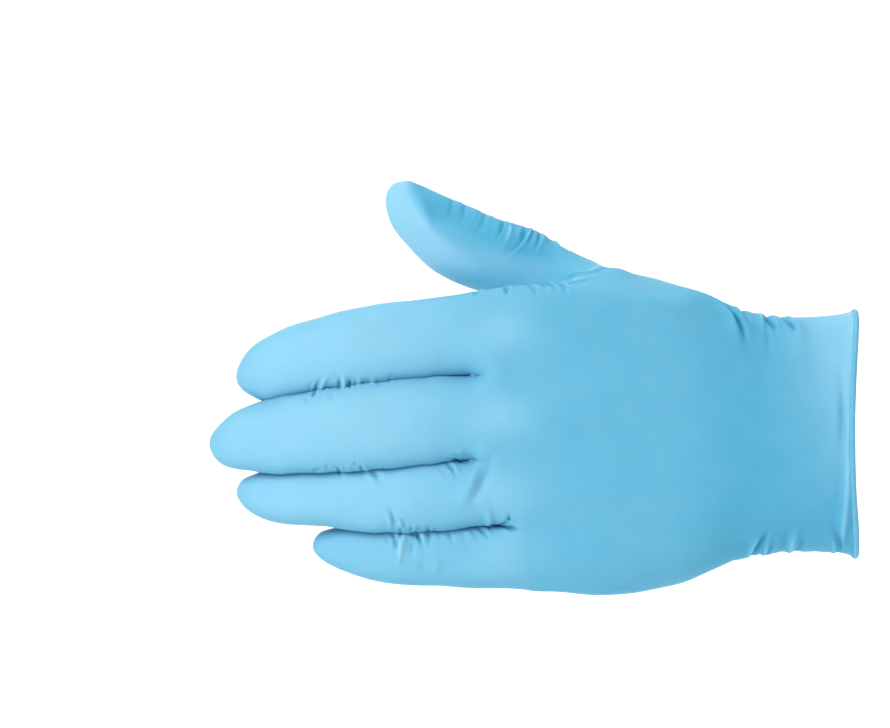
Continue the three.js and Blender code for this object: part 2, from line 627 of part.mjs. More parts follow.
// One step of Catmull-Clark subdivision of four-sided faces.
function subdivide(cage) {
  const around = neighbourhoods(cage);
  const points = cage.points.map(() => new THREE.Vector3());
  const centres = cage.faces.map((face) => {
    const centre = new THREE.Vector3();
    face.forEach((corner) => centre.addScaledVector(cage.points[corner], 0.25));
    points.push(centre);
    return points.length - 1;
  });
  const edges = new Map();
  cage.faces.forEach((face, f) => face.forEach((corner, i) => {
    const next = face[(i + 1) % 4];
    const key = Math.min(corner, next) + ' ' + Math.max(corner, next);
    if (!edges.has(key)) {
      edges.set(key, { ends: [corner, next], sides: [], point: points.length });
      points.push(new THREE.Vector3());
    }
    edges.get(key).sides.push(centres[f]);
  }));
  edges.forEach(({ ends, sides, point }) => {
    const middle = cage.points[ends[0]].clone().add(cage.points[ends[1]]);
    const open = sides.length === 1;
    if (!open) sides.forEach((centre) => middle.add(points[centre]));
    points[point].copy(middle.multiplyScalar(open ? 1 / 2 : 1 / 4));
  });
  const centreSums = cage.points.map(() => new THREE.Vector3());
  cage.faces.forEach((face, f) => face.forEach((corner) => centreSums[corner].add(points[centres[f]])));
  cage.points.forEach((point, corner) => {
    const { edges: ring, open } = around[corner];
    if (open.length === 2) {
      points[corner].addScaledVector(point, 6).add(cage.points[open[0]]).add(cage.points[open[1]]);
      points[corner].divideScalar(8);
      return;
    }
    const n = ring.size;
    ring.forEach((other) => points[corner].add(cage.points[other]));
    points[corner].add(centreSums[corner]).divideScalar(n * n).addScaledVector(point, (n - 2) / n);
  });
  const faces = cage.faces.flatMap((face, f) => face.map((corner, i) => {
    const edge = (p, q) => edges.get(Math.min(p, q) + ' ' + Math.max(p, q)).point;
    return [corner, edge(corner, face[(i + 1) % 4]), centres[f], edge(face[(i + 3) % 4], corner)];
  }));
  const mouth = cage.mouth.flatMap((corner, i) => {
    const next = cage.mouth[(i + 1) % cage.mouth.length];
    return [corner, edges.get(Math.min(corner, next) + ' ' + Math.max(corner, next)).point];
  });
  return { points, faces, mouth };
}

// The outward direction at each point of the film.
function outwardDirections(skin) {
  const directions = skin.points.map(() => new THREE.Vector3());
  skin.faces.forEach(([a, b, c, d]) => {
    const across = skin.points[c].clone().sub(skin.points[a]);
    const normal = across.cross(skin.points[d].clone().sub(skin.points[b]));
    [a, b, c, d].forEach((corner) => directions[corner].add(normal));
  });
  return directions.map((direction) => direction.normalize());
}

// A finer cage's corners lie beside the smooth surface: this puts them on it.
function ontoSurface(cage) {
  const around = neighbourhoods(cage);
  const points = cage.points.map((_, corner) => surfacePoint(cage.points, corner, around));
  return { ...cage, points };
}

// How far the folds raise the film at a place.
function foldRelief(point) {
  return folds.reduce((sum, fold) => {
    const start = [-fold.along * bodyLength, fold.rise * handBreadth];
    const run = [-fold.toAlong * bodyLength - start[0], fold.toRise * handBreadth - start[1]];
    const from = [point.x - start[0], point.z - start[1]];
    const length = Math.hypot(...run);
    const lengthwise = (from[0] * run[0] + from[1] * run[1]) / length ** 2;
    const crosswise = (from[0] * run[1] - from[1] * run[0]) / length;
    const fade = Math.exp(-((lengthwise * 2 - 1) ** 4)) * (Math.abs(lengthwise * 2 - 1) < 2);
    return sum + fold.height * foldHeight * fade * Math.exp(-((crosswise / (fold.width * foldWidth)) ** 2));
  }, 0);
}

// Folds the film where it looks to the back.
function crease(skin) {
  const outwards = outwardDirections(skin);
  skin.points.forEach((point, i) => {
    point.addScaledVector(outwards[i], foldRelief(point) * Math.max(0, -outwards[i].y));
  });
  return skin;
}

// Gives the skin its wall, and joins outside and inside round the rolled bead.
function thicken(skin) {
  const count = skin.points.length;
  const outwards = outwardDirections(skin);
  const inside = skin.points.map((point, i) => point.clone().addScaledVector(outwards[i], -filmWall));
  const points = [...skin.points, ...inside];
  const faces = [...skin.faces, ...skin.faces.map((face) => face.map((corner) => corner + count).reverse())];
  const radius = beadDiameter / 2;
  const turn = Math.acos(filmWall / 2 / radius); // where the roll leaves the film, either side
  const turns = Array.from({ length: beadFacets - 1 }, (_, i) => mix(turn, -turn, (i + 1) / beadFacets));
  const bead = skin.mouth.map((corner) => {
    const radial = outwards[corner].clone().setX(0).normalize();
    const middle = skin.points[corner].clone().addScaledVector(radial, -filmWall / 2);
    return turns.map((angle) => {
      const bulge = middle.clone().addScaledVector(radial, radius * Math.sin(angle));
      bulge.x += radius * (Math.cos(angle) - filmWall / beadDiameter);
      points.push(bulge);
      return points.length - 1;
    });
  });
  skin.mouth.forEach((corner, i) => {
    const next = (i + 1) % skin.mouth.length;
    const strip = [corner, ...bead[i], corner + count];
    const nextStrip = [skin.mouth[next], ...bead[next], skin.mouth[next] + count];
    for (let k = 0; k + 1 < strip.length; k += 1) {
      faces.push([strip[k], nextStrip[k], nextStrip[k + 1], strip[k + 1]]);
    }
  });
  return { points, faces };
}

// Three-sided faces, each quad cut along its shorter diagonal.
function toGeometry(solid) {
  const index = solid.faces.flatMap(([a, b, c, d]) => {
    const first = solid.points[a].distanceToSquared(solid.points[c]);
    const second = solid.points[b].distanceToSquared(solid.points[d]);
    return first <= second ? [a, b, c, a, c, d] : [a, b, d, b, c, d];
  });
  const geometry = new THREE.BufferGeometry().setFromPoints(solid.points);
  geometry.setIndex(index);
  geometry.computeVertexNormals();
  return geometry;
}

function makeGlove() {
  const cage = buildCage();
  fitCage(cage);
  const material = new THREE.MeshStandardMaterial({ color: paleBlue, roughness: 0.48, metalness: 0 });
  const glove = new THREE.Mesh(toGeometry(thicken(crease(ontoSurface(subdivide(cage))))), material);
  glove.name = 'glove';
  return glove;
}

const part = new THREE.Group();
part.add(makeGlove());

export default part;
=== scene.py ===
"""A worn nitrile exam glove: one dipped film with its folds, its webs and its rolled bead.

The film's smooth form comes from a cage of four-sided faces, whose corners are worked out from
short tables of sections. The folds are pressed into it along paths on its surface, and the wall
and the bead close it. All tables are in millimetres or in shares of a named size; the finished
mesh is in metres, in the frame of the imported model.
"""

import logging
import math
from dataclasses import dataclass, field, replace
from enum import Enum
from typing import Any, Iterator, Optional, Sequence

import bpy
import numpy as np
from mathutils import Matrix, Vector
from mathutils.bvhtree import BVHTree


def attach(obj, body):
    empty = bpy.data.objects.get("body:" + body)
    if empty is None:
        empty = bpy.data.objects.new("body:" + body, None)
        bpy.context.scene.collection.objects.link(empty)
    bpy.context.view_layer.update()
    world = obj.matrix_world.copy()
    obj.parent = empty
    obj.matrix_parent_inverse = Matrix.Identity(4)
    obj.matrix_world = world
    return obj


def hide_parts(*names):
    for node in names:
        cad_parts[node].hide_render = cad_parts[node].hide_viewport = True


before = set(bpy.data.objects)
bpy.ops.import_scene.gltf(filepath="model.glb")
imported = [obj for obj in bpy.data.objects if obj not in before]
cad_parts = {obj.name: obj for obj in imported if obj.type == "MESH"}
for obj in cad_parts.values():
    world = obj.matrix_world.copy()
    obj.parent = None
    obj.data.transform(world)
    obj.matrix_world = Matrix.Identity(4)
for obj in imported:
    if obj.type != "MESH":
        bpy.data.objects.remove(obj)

log = logging.getLogger("exam_glove")

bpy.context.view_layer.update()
MM = 0.001
PHOTO_WIDTH = 890
PHOTO_HEIGHT = 728

Array = np.ndarray


def linear(hex_colour: int) -> tuple[float, float, float, float]:
    """Turns an sRGB hex colour into the linear colour that a node takes.

    Args:
        hex_colour: The colour as 0xRRGGBB.

    Returns:
        Red, green, blue and an alpha of 1.
    """
    channels = []
    for shift in (16, 8, 0):
        value = ((hex_colour >> shift) & 255) / 255
        channels.append(value / 12.92 if value <= 0.04045 else ((value + 0.055) / 1.055) ** 2.4)
    return (channels[0], channels[1], channels[2], 1.0)


def add_node(
    tree: bpy.types.NodeTree,
    kind: str,
    settings: Optional[dict[str, Any]] = None,
    values: Optional[dict[Any, Any]] = None,
    links: Optional[dict[Any, bpy.types.NodeSocket]] = None,
) -> bpy.types.Node:
    """Adds one node with its settings, the values on its sockets and the links into it.

    Args:
        tree: The node tree that the node joins.
        kind: The node's type name.
        settings: Attributes of the node.
        values: Socket name or number, and the value that it holds.
        links: Socket name or number, and the output that feeds it.

    Returns:
        The new node.
    """
    node = tree.nodes.new(kind)
    for name, value in (settings or {}).items():
        setattr(node, name, value)
    for name, value in (values or {}).items():
        node.inputs[name].default_value = value
    for name, output in (links or {}).items():
        tree.links.new(output, node.inputs[name])
    return node


def signed_power(value: float, power: float) -> float:
    """Raises the size of a number to a power and keeps its sign."""
    return math.copysign(abs(value) ** power, value)


def mix(first: Any, second: Any, share: Any) -> Any:
    """The value that lies at a share of the way from the first to the second."""
    return first + (second - first) * share


def ramp(value: Array, start: float, length: float) -> Array:
    """Rises evenly from 0 at a start to 1 at a length beyond it."""
    return np.clip((value - start) / length, 0, 1)


def eased(share: Array) -> Array:
    """Softens both ends of a rise from 0 to 1."""
    return share * share * (3 - 2 * share)


def soft_step(value: Array) -> Array:
    """Rises smoothly from 0 to 1 round a value of 0."""
    return 1 / (1 + np.exp(-value))


class Side(Enum):
    """The side of the glove that a fold lies on, as the direction in which it is looked at."""

    BACK = (0.0, 1.0, 0.0)
    PALM = (0.0, -1.0, 0.0)
    THUMB_SIDE = (0.0, 0.0, -1.0)
    LITTLE_SIDE = (0.0, 0.0, 1.0)


class FoldKind(Enum):
    """How a fold is pressed into the film."""

    RIDGE = "ridge"
    GROOVE = "groove"
    TUCK = "tuck"  # a groove with a raised lip along one side


@dataclass(frozen=True)
class BodySection:
    """One section round the cuff or the hand, in shares of the glove's main sizes."""

    along: float  # its distance from the mouth
    upper: float  # its reach above the middle line
    lower: float  # and below it
    back: float  # its depth on the back
    palm: float  # and on the palm
    spread: float  # how far its columns have moved from even places to the fingers' own
    drawn: float  # how far the palm's upper columns are drawn away from the thumb
    merge: float  # how far it has taken on the arch of the knuckles


@dataclass(frozen=True)
class PalmForm:
    """One soft form of the palm: where it is, how far it reaches and how high it is."""

    along: float
    rise: float
    length: float
    breadth: float
    height: float


@dataclass(frozen=True)
class FingerSection:
    """One section of a finger: its insets from the lines beside it, its curl and its depth."""

    along: float
    upper: float
    lower: float
    curl: float
    depth: float


@dataclass(frozen=True)
class Finger:
    """One finger stall: its size in millimetres, its place in the arch, sections and tip."""

    name: str
    length: float
    width: float
    depth: float
    arch: float
    rows: tuple[FingerSection, ...]
    tip_rise: float
    tip_curl: float


@dataclass(frozen=True)
class ThumbSection:
    """One section of the thumb: the place of its middle and its breadth, as shares."""

    reach: float
    away: float
    rise: float
    width: float
    depth: float


@dataclass(frozen=True)
class SharedLine:
    """How far the lines between neighbouring fingers have drifted at a distance from the webs."""

    along: float
    index_middle: float
    middle_ring: float
    ring_little: float


@dataclass(frozen=True)
class Held:
    """A corner of the thumb's opening that stays where it is put, in shares."""

    corner: int
    along: float
    away: float
    rise: float


BODY_SECTIONS = (
    BodySection(0.045, 0.765, 0.76, 1.15, 1.15, 0.0, 0.0, 0.0),
    BodySection(0.105, 0.745, 0.752, 1.12, 1.12, 0.05, 0.0, 0.0),
    BodySection(0.175, 0.745, 0.75, 1.09, 1.1, 0.12, 0.0, 0.0),
    BodySection(0.245, 0.753, 0.766, 1.06, 1.07, 0.2, 0.02, 0.0),
    BodySection(0.32, 0.805, 0.8, 1.04, 1.05, 0.35, 0.05, 0.0),
    BodySection(0.4, 0.89, 0.885, 1.02, 1.03, 0.5, 0.12, 0.0),
    BodySection(0.5, 0.985, 0.975, 0.99, 1.0, 0.65, 0.2, 0.05),
    BodySection(0.64, 1.03, 1.015, 0.93, 0.96, 0.8, 0.24, 0.25),
    BodySection(0.775, 0.98, 1.012, 0.85, 0.87, 0.95, 0.16, 0.65),
    BodySection(0.89, 0.945, 0.998, 0.77, 0.77, 1.0, 0.05, 0.9),
)

PALM_FORMS = (
    PalmForm(0.58, 0.25, 0.25, 0.17, 0.28),
    PalmForm(0.48, -0.3, 0.24, 0.16, 0.09),
    PalmForm(0.72, -0.04, 0.16, 0.15, -0.07),
)

SHARED_LINES = (
    SharedLine(0.0, 0.0, 0.0, 0.0),
    SharedLine(0.134, -0.024, -0.03, -0.045),
    SharedLine(0.286, -0.064, -0.082, -0.066),
    SharedLine(0.438, -0.118, -0.12, -0.056),
    SharedLine(0.59, -0.194, -0.14, -0.03),
    SharedLine(0.742, -0.284, -0.158, -0.004),
    SharedLine(0.894, -0.368, -0.176, 0.016),
)

INDEX_SECTIONS = (
    FingerSection(0.071, 0.046, 0.0, 0.0, 1.0),
    FingerSection(0.207, 0.118, 0.0, 0.0, 0.94),
    FingerSection(0.362, 0.166, 0.0, 0.004, 0.93),
    FingerSection(0.505, 0.222, 0.0, 0.014, 0.92),
    FingerSection(0.647, 0.315, 0.0, 0.034, 0.87),
    FingerSection(0.789, 0.447, 0.0, 0.062, 0.8),
    FingerSection(0.9, 0.615, 0.035, 0.09, 0.65),
    FingerSection(0.97, 0.8, 0.16, 0.11, 0.39),
)

MIDDLE_SECTIONS = (
    FingerSection(0.064, 0.0, 0.0, 0.0, 1.0),
    FingerSection(0.21, 0.0, 0.0, 0.0, 0.95),
    FingerSection(0.362, 0.0, 0.0, 0.006, 0.94),
    FingerSection(0.514, 0.0, 0.0, 0.02, 0.93),
    FingerSection(0.654, 0.0, 0.0, 0.042, 0.87),
    FingerSection(0.783, 0.0, 0.0, 0.07, 0.8),
    FingerSection(0.9, 0.052, 0.03, 0.1, 0.66),
    FingerSection(0.969, 0.2, 0.15, 0.121, 0.4),
)

RING_SECTIONS = (
    FingerSection(0.071, 0.0, 0.0, 0.006, 1.0),
    FingerSection(0.22, 0.0, 0.0, 0.016, 0.95),
    FingerSection(0.375, 0.0, 0.0, 0.034, 0.94),
    FingerSection(0.53, 0.0, 0.0, 0.06, 0.93),
    FingerSection(0.686, 0.0, 0.0, 0.092, 0.88),
    FingerSection(0.821, 0.0, 0.01, 0.124, 0.79),
    FingerSection(0.918, 0.035, 0.1, 0.15, 0.64),
    FingerSection(0.974, 0.12, 0.25, 0.167, 0.4),
)

LITTLE_SECTIONS = (
    FingerSection(0.074, 0.0, 0.0, 0.01, 1.0),
    FingerSection(0.219, 0.0, 0.008, 0.026, 0.96),
    FingerSection(0.38, 0.0, 0.02, 0.048, 0.93),
    FingerSection(0.541, 0.0, 0.045, 0.076, 0.92),
    FingerSection(0.702, 0.0, 0.125, 0.108, 0.87),
    FingerSection(0.847, 0.02, 0.26, 0.14, 0.76),
    FingerSection(0.952, 0.1, 0.42, 0.165, 0.52),
)

THUMB_SECTIONS = (
    ThumbSection(0.0, 0.0, 0.0, 0.95, 1.0),
    ThumbSection(0.167, 0.061, 0.091, 0.97, 0.955),
    ThumbSection(0.333, 0.114, 0.159, 0.93, 0.93),
    ThumbSection(0.503, 0.159, 0.239, 0.904, 0.91),
    ThumbSection(0.652, 0.189, 0.335, 0.773, 0.8),
    ThumbSection(0.732, 0.205, 0.414, 0.638, 0.61),
    ThumbSection(0.78, 0.212, 0.477, 0.46, 0.4),
)


@dataclass
class Quads:
    """The faces of a four-sided mesh, and the sums over neighbours that smoothing needs."""

    faces: Array
    count: int
    edges: Array = field(init=False)
    face_edges: Array = field(init=False)
    rim: Array = field(init=False)
    valence: Array = field(init=False)
    on_rim: Array = field(init=False)

    def __post_init__(self) -> None:
        """Finds the edges, the open rim and each corner's number of edges."""
        sides = [self.faces[:, [i, (i + 1) % 4]] for i in range(4)]
        pairs = np.sort(np.concatenate(sides), axis=1)
        self.edges, where, uses = np.unique(pairs, axis=0, return_inverse=True, return_counts=True)
        self.face_edges = where.reshape(4, -1).T
        self.rim = self.edges[uses == 1]
        self.valence = np.bincount(self.edges.ravel(), minlength=self.count)
        self.on_rim = np.zeros(self.count, dtype=bool)
        self.on_rim[self.rim.ravel()] = True

    def sum_along(self, edges: Array, points: Array) -> Array:
        """Sums, for each corner, the points at the other ends of some edges.

        Args:
            edges: Pairs of corners.
            points: One point for each corner.

        Returns:
            One sum for each corner.
        """
        total = np.zeros_like(points)
        np.add.at(total, edges[:, 0], points[edges[:, 1]])
        np.add.at(total, edges[:, 1], points[edges[:, 0]])
        return total

    def onto_surface(self, points: Array) -> Array:
        """Where the smooth surface of the mesh passes each of its corners.

        Args:
            points: The mesh's corners.

        Returns:
            The points on the surface, in the same order.
        """
        across = np.zeros_like(points)
        for i in range(4):
            np.add.at(across, self.faces[:, i], points[self.faces[:, (i + 2) % 4]])
        n = self.valence[:, None].astype(float)
        inner = (n * n * points + 4 * self.sum_along(self.edges, points) + across) / (n * (n + 5))
        rim = (4 * points + self.sum_along(self.rim, points)) / 6
        return np.where(self.on_rim[:, None], rim, inner)

    def split(self, points: Array) -> tuple["Quads", Array]:
        """One step of Catmull-Clark subdivision.

        Args:
            points: The mesh's corners.

        Returns:
            The finer faces, with the four from face f at 4 f and after, and their corners.
        """
        centres = points[self.faces].mean(axis=1)
        number = len(self.faces)
        beside = np.zeros((len(self.edges), 3))
        np.add.at(beside, self.face_edges.ravel(), np.repeat(centres, 4, axis=0))
        ends = points[self.edges].sum(axis=1)
        is_open = (self.on_rim[self.edges].all(axis=1)) & (np.bincount(self.face_edges.ravel()) == 1)
        middles = np.where(is_open[:, None], ends / 2, (ends + beside) / 4)
        around = np.zeros_like(points)
        np.add.at(around, self.faces.ravel(), np.repeat(centres, 4, axis=0))
        n = self.valence[:, None].astype(float)
        inner = (self.sum_along(self.edges, points) + around) / (n * n) + points * (n - 2) / n
        rim = (6 * points + self.sum_along(self.rim, points)) / 8
        moved = np.where(self.on_rim[:, None], rim, inner)
        side = self.count + number + self.face_edges
        centre = self.count + np.arange(number)
        children = [
            np.stack([self.faces[:, i], side[:, i], centre, side[:, (i + 3) % 4]], axis=1)
            for i in range(4)
        ]
        finer = np.stack(children, axis=1).reshape(-1, 4)
        corners = np.concatenate([moved, centres, middles])
        return Quads(finer, len(corners)), corners

    def normals(self, points: Array) -> Array:
        """The outward direction at each corner.

        Args:
            points: The mesh's corners.

        Returns:
            Unit vectors.
        """
        corners = points[self.faces]
        crossed = np.cross(corners[:, 2] - corners[:, 0], corners[:, 3] - corners[:, 1])
        total = np.zeros_like(points)
        np.add.at(total, self.faces.ravel(), np.repeat(crossed, 4, axis=0))
        return total / np.maximum(np.linalg.norm(total, axis=1, keepdims=True), 1e-12)

    def mouth(self, points: Array) -> list[int]:
        """The corners round the open rim in order.

        Args:
            points: The mesh's corners, of which the highest on the rim comes first.

        Returns:
            Corner numbers, in the direction in which the faces run.
        """
        following = {}
        open_sides = {tuple(pair) for pair in self.rim.tolist()}
        rim_faces = self.faces[self.on_rim[self.faces].sum(axis=1) >= 2]
        for face in rim_faces.tolist():
            for i in range(4):
                pair = (face[i], face[(i + 1) % 4])
                if tuple(sorted(pair)) in open_sides:
                    following[pair[0]] = pair[1]
        first = max(following, key=lambda corner: points[corner, 2])
        ring = [first]
        while following[ring[-1]] != first:
            ring.append(following[ring[-1]])
        return ring


@dataclass
class GloveCage:
    """The cage of four-sided faces whose corners lie on the film, in millimetres."""

    body_length: float = 124.5
    cuff_breadth: float = 80.0
    cuff_depth: float = 46.0
    hand_breadth: float = 102.0
    hand_depth: float = 39.0
    knuckle_depth: float = 28.0
    hand_drop: float = 1.4
    web_setback: float = 4.5
    mouth_dip: float = 4.0
    mouth_reach: float = 14.0
    mouth_inset: float = 1.4
    finger_gap: float = 0.12
    web_opening: float = 0.35
    thumb_length: float = 66.0
    thumb_width: float = 27.0
    thumb_depth: float = 23.0
    body_squareness: float = 2.35
    finger_squareness: float = 2.5
    knuckle_swell: float = 1.06  # share of a finger's depth on its middle line
    knuckle_valley: float = 0.97  # and between two fingers
    thumb_turn: float = 0.85  # corners by which the thumb's sections are turned
    web_reach: tuple[float, ...] = (0.985, 1.0, 1.004, 0.925, 0.915)  # webs and outer edges
    thumb_root: tuple[float, float, float] = (0.787, 0.72, 0.482)  # of length, depth, breadth
    thumb_tip: tuple[float, float, float] = (0.818, 0.22, 0.523)  # of the thumb's length
    held: tuple[Held, ...] = (
        Held(0, 0.515, 0.17, 0.493),
        Held(1, 0.505, -0.24, 0.44),
        Held(3, 0.77, -0.19, 0.462),
    )
    fingers: tuple[Finger, ...] = (
        Finger("index", 78.0, 28.4, 24.0, 0.0, INDEX_SECTIONS, -0.52, 0.12),
        Finger("middle", 86.3, 27.2, 24.5, -0.06, MIDDLE_SECTIONS, -0.322, 0.13),
        Finger("ring", 78.0, 21.6, 22.5, 0.0, RING_SECTIONS, -0.04, 0.176),
        Finger("little", 62.7, 20.7, 20.0, 0.1, LITTLE_SECTIONS, 0.13, 0.18),
    )
    back_columns: int = 9
    settle_rounds: int = 400
    settle_step: float = 0.4  # how far a corner goes in a round, as a share
    fit_rounds: int = 14
    points: list[Array] = field(default_factory=list)
    faces: list[list[int]] = field(default_factory=list)
    finger_faces: list[tuple[int, int]] = field(default_factory=list)
    palm_end: int = field(init=False)
    side_above: int = field(init=False)
    roots: list[float] = field(init=False)
    seams: list[float] = field(init=False)
    root_depths: list[float] = field(init=False)
    corner: float = field(init=False)
    shares: list[float] = field(init=False)
    reach: list[float] = field(init=False)
    arch: list[tuple[float, float]] = field(init=False)

    def __post_init__(self) -> None:
        """Works out the places that all sections share."""
        self.palm_end = 2 * self.back_columns
        self.side_above = self.palm_end + 1
        self.roots = []
        edge = sum(finger.width for finger in self.fingers) / 2 - self.hand_drop
        self.seams = [edge]
        for finger in self.fingers:
            self.roots.append(edge - finger.width / 2)
            edge -= finger.width
            self.seams.append(edge)
        self.root_depths = [finger.arch * self.knuckle_depth for finger in self.fingers]
        self.corner = math.sqrt(0.5) ** (2 / self.finger_squareness)
        self.shares = self.column_shares()
        self.reach = self.column_reach()
        self.arch = self.knuckle_arch()

    def column_shares(self) -> list[float]:
        """Places the columns across the back.

        Returns:
            Their heights as shares of half the breadth.
        """
        middle = (self.seams[0] + self.seams[-1]) / 2
        half = (self.seams[0] - self.seams[-1]) / 2
        shares = []
        for i, finger in enumerate(self.fingers):
            upper = self.seams[i] if i else self.roots[0] + self.corner * finger.width / 2
            shares += [(upper - middle) / half, (self.roots[i] - middle) / half]
        lowest = self.roots[-1] - self.corner * self.fingers[-1].width / 2
        return shares + [(lowest - middle) / half]

    def column_reach(self) -> list[float]:
        """Finds where each column of the back ends.

        Returns:
            Distances from the mouth in millimetres.
        """
        seams = [share * self.body_length - self.web_setback for share in self.web_reach]
        reach = []
        for column in range(self.back_columns):
            below = column // 2
            reach.append((seams[below] + seams[below + 1]) / 2 if column % 2 else seams[below])
        return reach

    def knuckle_arch(self) -> list[tuple[float, float]]:
        """Works out the arch on which the fingers stand.

        Returns:
            How far the back and the palm lie from the middle, for each column.
        """
        arch = []
        last = len(self.fingers) - 1
        for column in range(self.back_columns):
            above = max(0, math.ceil(column / 2) - 1)
            below = min(last, column // 2)
            centre = (self.root_depths[above] + self.root_depths[below]) / 2
            depth = (self.fingers[above].depth + self.fingers[below].depth) / 4
            fullness = self.knuckle_swell if column % 2 else self.knuckle_valley
            if column in (0, self.back_columns - 1):
                fullness = self.corner
            arch.append((centre - depth * fullness, centre + depth * fullness))
        return arch

    def add_point(self, x: float, y: float, z: float) -> int:
        """Adds one corner and returns its number."""
        self.points.append(np.array([x, y, z], dtype=float))
        return len(self.points) - 1

    def join_rings(self, near: Sequence[int], far: Sequence[int]) -> None:
        """Joins two rings of the same number of corners with faces that look outwards.

        Args:
            near: The corners of the ring that lies nearer the mouth.
            far: Those of the other ring, in the same order.
        """
        for i, corner in enumerate(near):
            following = (i + 1) % len(near)
            self.faces.append([corner, far[i], far[following], near[following]])

    def close_tip(self, ring: Sequence[int], tip: int) -> None:
        """Closes a ring of eight corners with four faces round one corner."""
        for i in range(0, len(ring), 2):
            self.faces.append([ring[i], tip, ring[(i + 2) % len(ring)], ring[i + 1]])

    def palm_form(self, x: float, z: float) -> float:
        """How far the soft forms raise the palm at a place.

        Args:
            x: The place along the glove.
            z: Its height.

        Returns:
            The rise in millimetres.
        """
        total = 0.0
        for form in PALM_FORMS:
            lengthwise = (-x - form.along * self.body_length) / (form.length * self.body_length)
            crosswise = (z - form.rise * self.hand_breadth) / (form.breadth * self.hand_breadth)
            total += form.height * self.hand_depth * math.exp(-(lengthwise**2) - crosswise**2)
        return total

    def add_body_section(self, row: BodySection) -> list[int]:
        """Adds one section round the cuff or the hand.

        Args:
            row: The section's shares.

        Returns:
            The numbers of its corners: the back from above, the side, the palm, the side.
        """
        breadth = self.hand_breadth / 2
        middle = (row.upper - row.lower) * breadth / 2
        half = (row.upper + row.lower) * breadth / 2
        squareness = mix(2.0, self.body_squareness, row.spread)
        swell = self.hand_depth / self.knuckle_depth
        ring = []
        for column in range(self.side_above + 1):
            back = column < self.back_columns
            palm = self.back_columns < column <= self.palm_end
            across = column if back else self.palm_end - column
            share = 1.0 if column == self.side_above else -1.0
            if back or palm:
                even = math.cos(math.pi * (across + 1) / (self.back_columns + 1))
                share = mix(even, self.shares[across], row.spread)
            if palm and share > 0:
                share *= 1 - row.drawn
            straight = row.along * self.body_length
            side = 0 if column == self.side_above else self.back_columns - 1
            reached = self.reach[across if back or palm else side]
            slanted = row.along * (reached + self.web_setback)
            dip = self.mouth_dip * (1 - share * share) * math.exp(-straight / self.mouth_reach)
            x = -mix(straight, slanted, row.along**3) - dip
            z = middle + half * share
            rounded = max(0.0, 1 - abs(share) ** squareness) ** (1 / squareness)
            depth = rounded * self.hand_depth / 2
            y = 0.0
            if back:
                y = mix(-depth, self.arch[across][0] * swell, row.merge) * row.back
            if palm:
                y = mix(depth, self.arch[across][1] * swell, row.merge) * row.palm
                y += self.palm_form(x, z)
            ring.append(self.add_point(x, y, z))
        return ring

    def add_knuckles(self) -> list[int]:
        """Adds the last section of the body, on the roots of the fingers.

        Returns:
            The numbers of its corners, in the order of the other sections.
        """
        middle = (self.seams[0] + self.seams[-1]) / 2
        half = (self.seams[0] - self.seams[-1]) / 2
        ring = []
        for column in range(self.side_above + 1):
            back = column < self.back_columns
            if back or self.back_columns < column <= self.palm_end:
                across = column if back else self.palm_end - column
                y = self.arch[across][0 if back else 1]
                ring.append(self.add_point(-self.reach[across], y, middle + half * self.shares[across]))
            else:
                first = column == self.side_above
                reached = self.reach[0 if first else -1]
                y = self.root_depths[0 if first else -1]
                ring.append(self.add_point(-reached, y, middle + (half if first else -half)))
        return ring

    def finger_root(self, knuckles: Sequence[int], webs: Sequence[int], i: int) -> list[int]:
        """The ring of corners on which a finger stands.

        Args:
            knuckles: The corners of the body's last section.
            webs: The corners in the webs.
            i: The finger's number.

        Returns:
            Eight corners, from the finger's upper side by its back.
        """
        first = 2 * i
        upper = knuckles[self.side_above] if i == 0 else webs[i - 1]
        lower = knuckles[self.back_columns] if i == len(self.fingers) - 1 else webs[i]
        back = [knuckles[first + k] for k in range(3)]
        palm = [knuckles[self.palm_end - first - k] for k in (2, 1, 0)]
        return [upper, *back, lower, *palm]

    def line_height(self, line: int, beyond: float) -> float:
        """How high the line beside a finger lies at a distance beyond the webs.

        Args:
            line: The line's number, from above the index finger.
            beyond: The distance in millimetres.

        Returns:
            The height above the middle of the cuff.
        """
        if line in (0, len(self.fingers)):
            return self.seams[line]
        name = f"{self.fingers[line - 1].name}_{self.fingers[line].name}"
        at = beyond / self.fingers[1].length
        rows = SHARED_LINES
        after = next((k for k, row in enumerate(rows) if row.along > at), len(rows) - 1)
        k = max(1, after)
        heights = [getattr(row, name) for row in rows]

        def slope(first: int, last: int) -> float:
            """The slope of the line between two rows."""
            return (heights[last] - heights[first]) / (rows[last].along - rows[first].along)

        span = rows[k].along - rows[k - 1].along
        t = (at - rows[k - 1].along) / span
        entering = slope(max(0, k - 2), k)
        leaving = slope(k - 1, min(len(rows) - 1, k + 1))
        drift = (
            (1 + 2 * t) * (1 - t) ** 2 * heights[k - 1]
            + t * (1 - t) ** 2 * span * entering
            + t * t * (3 - 2 * t) * heights[k]
            + t * t * (t - 1) * span * leaving
        )
        return self.seams[line] + drift * self.fingers[1].width

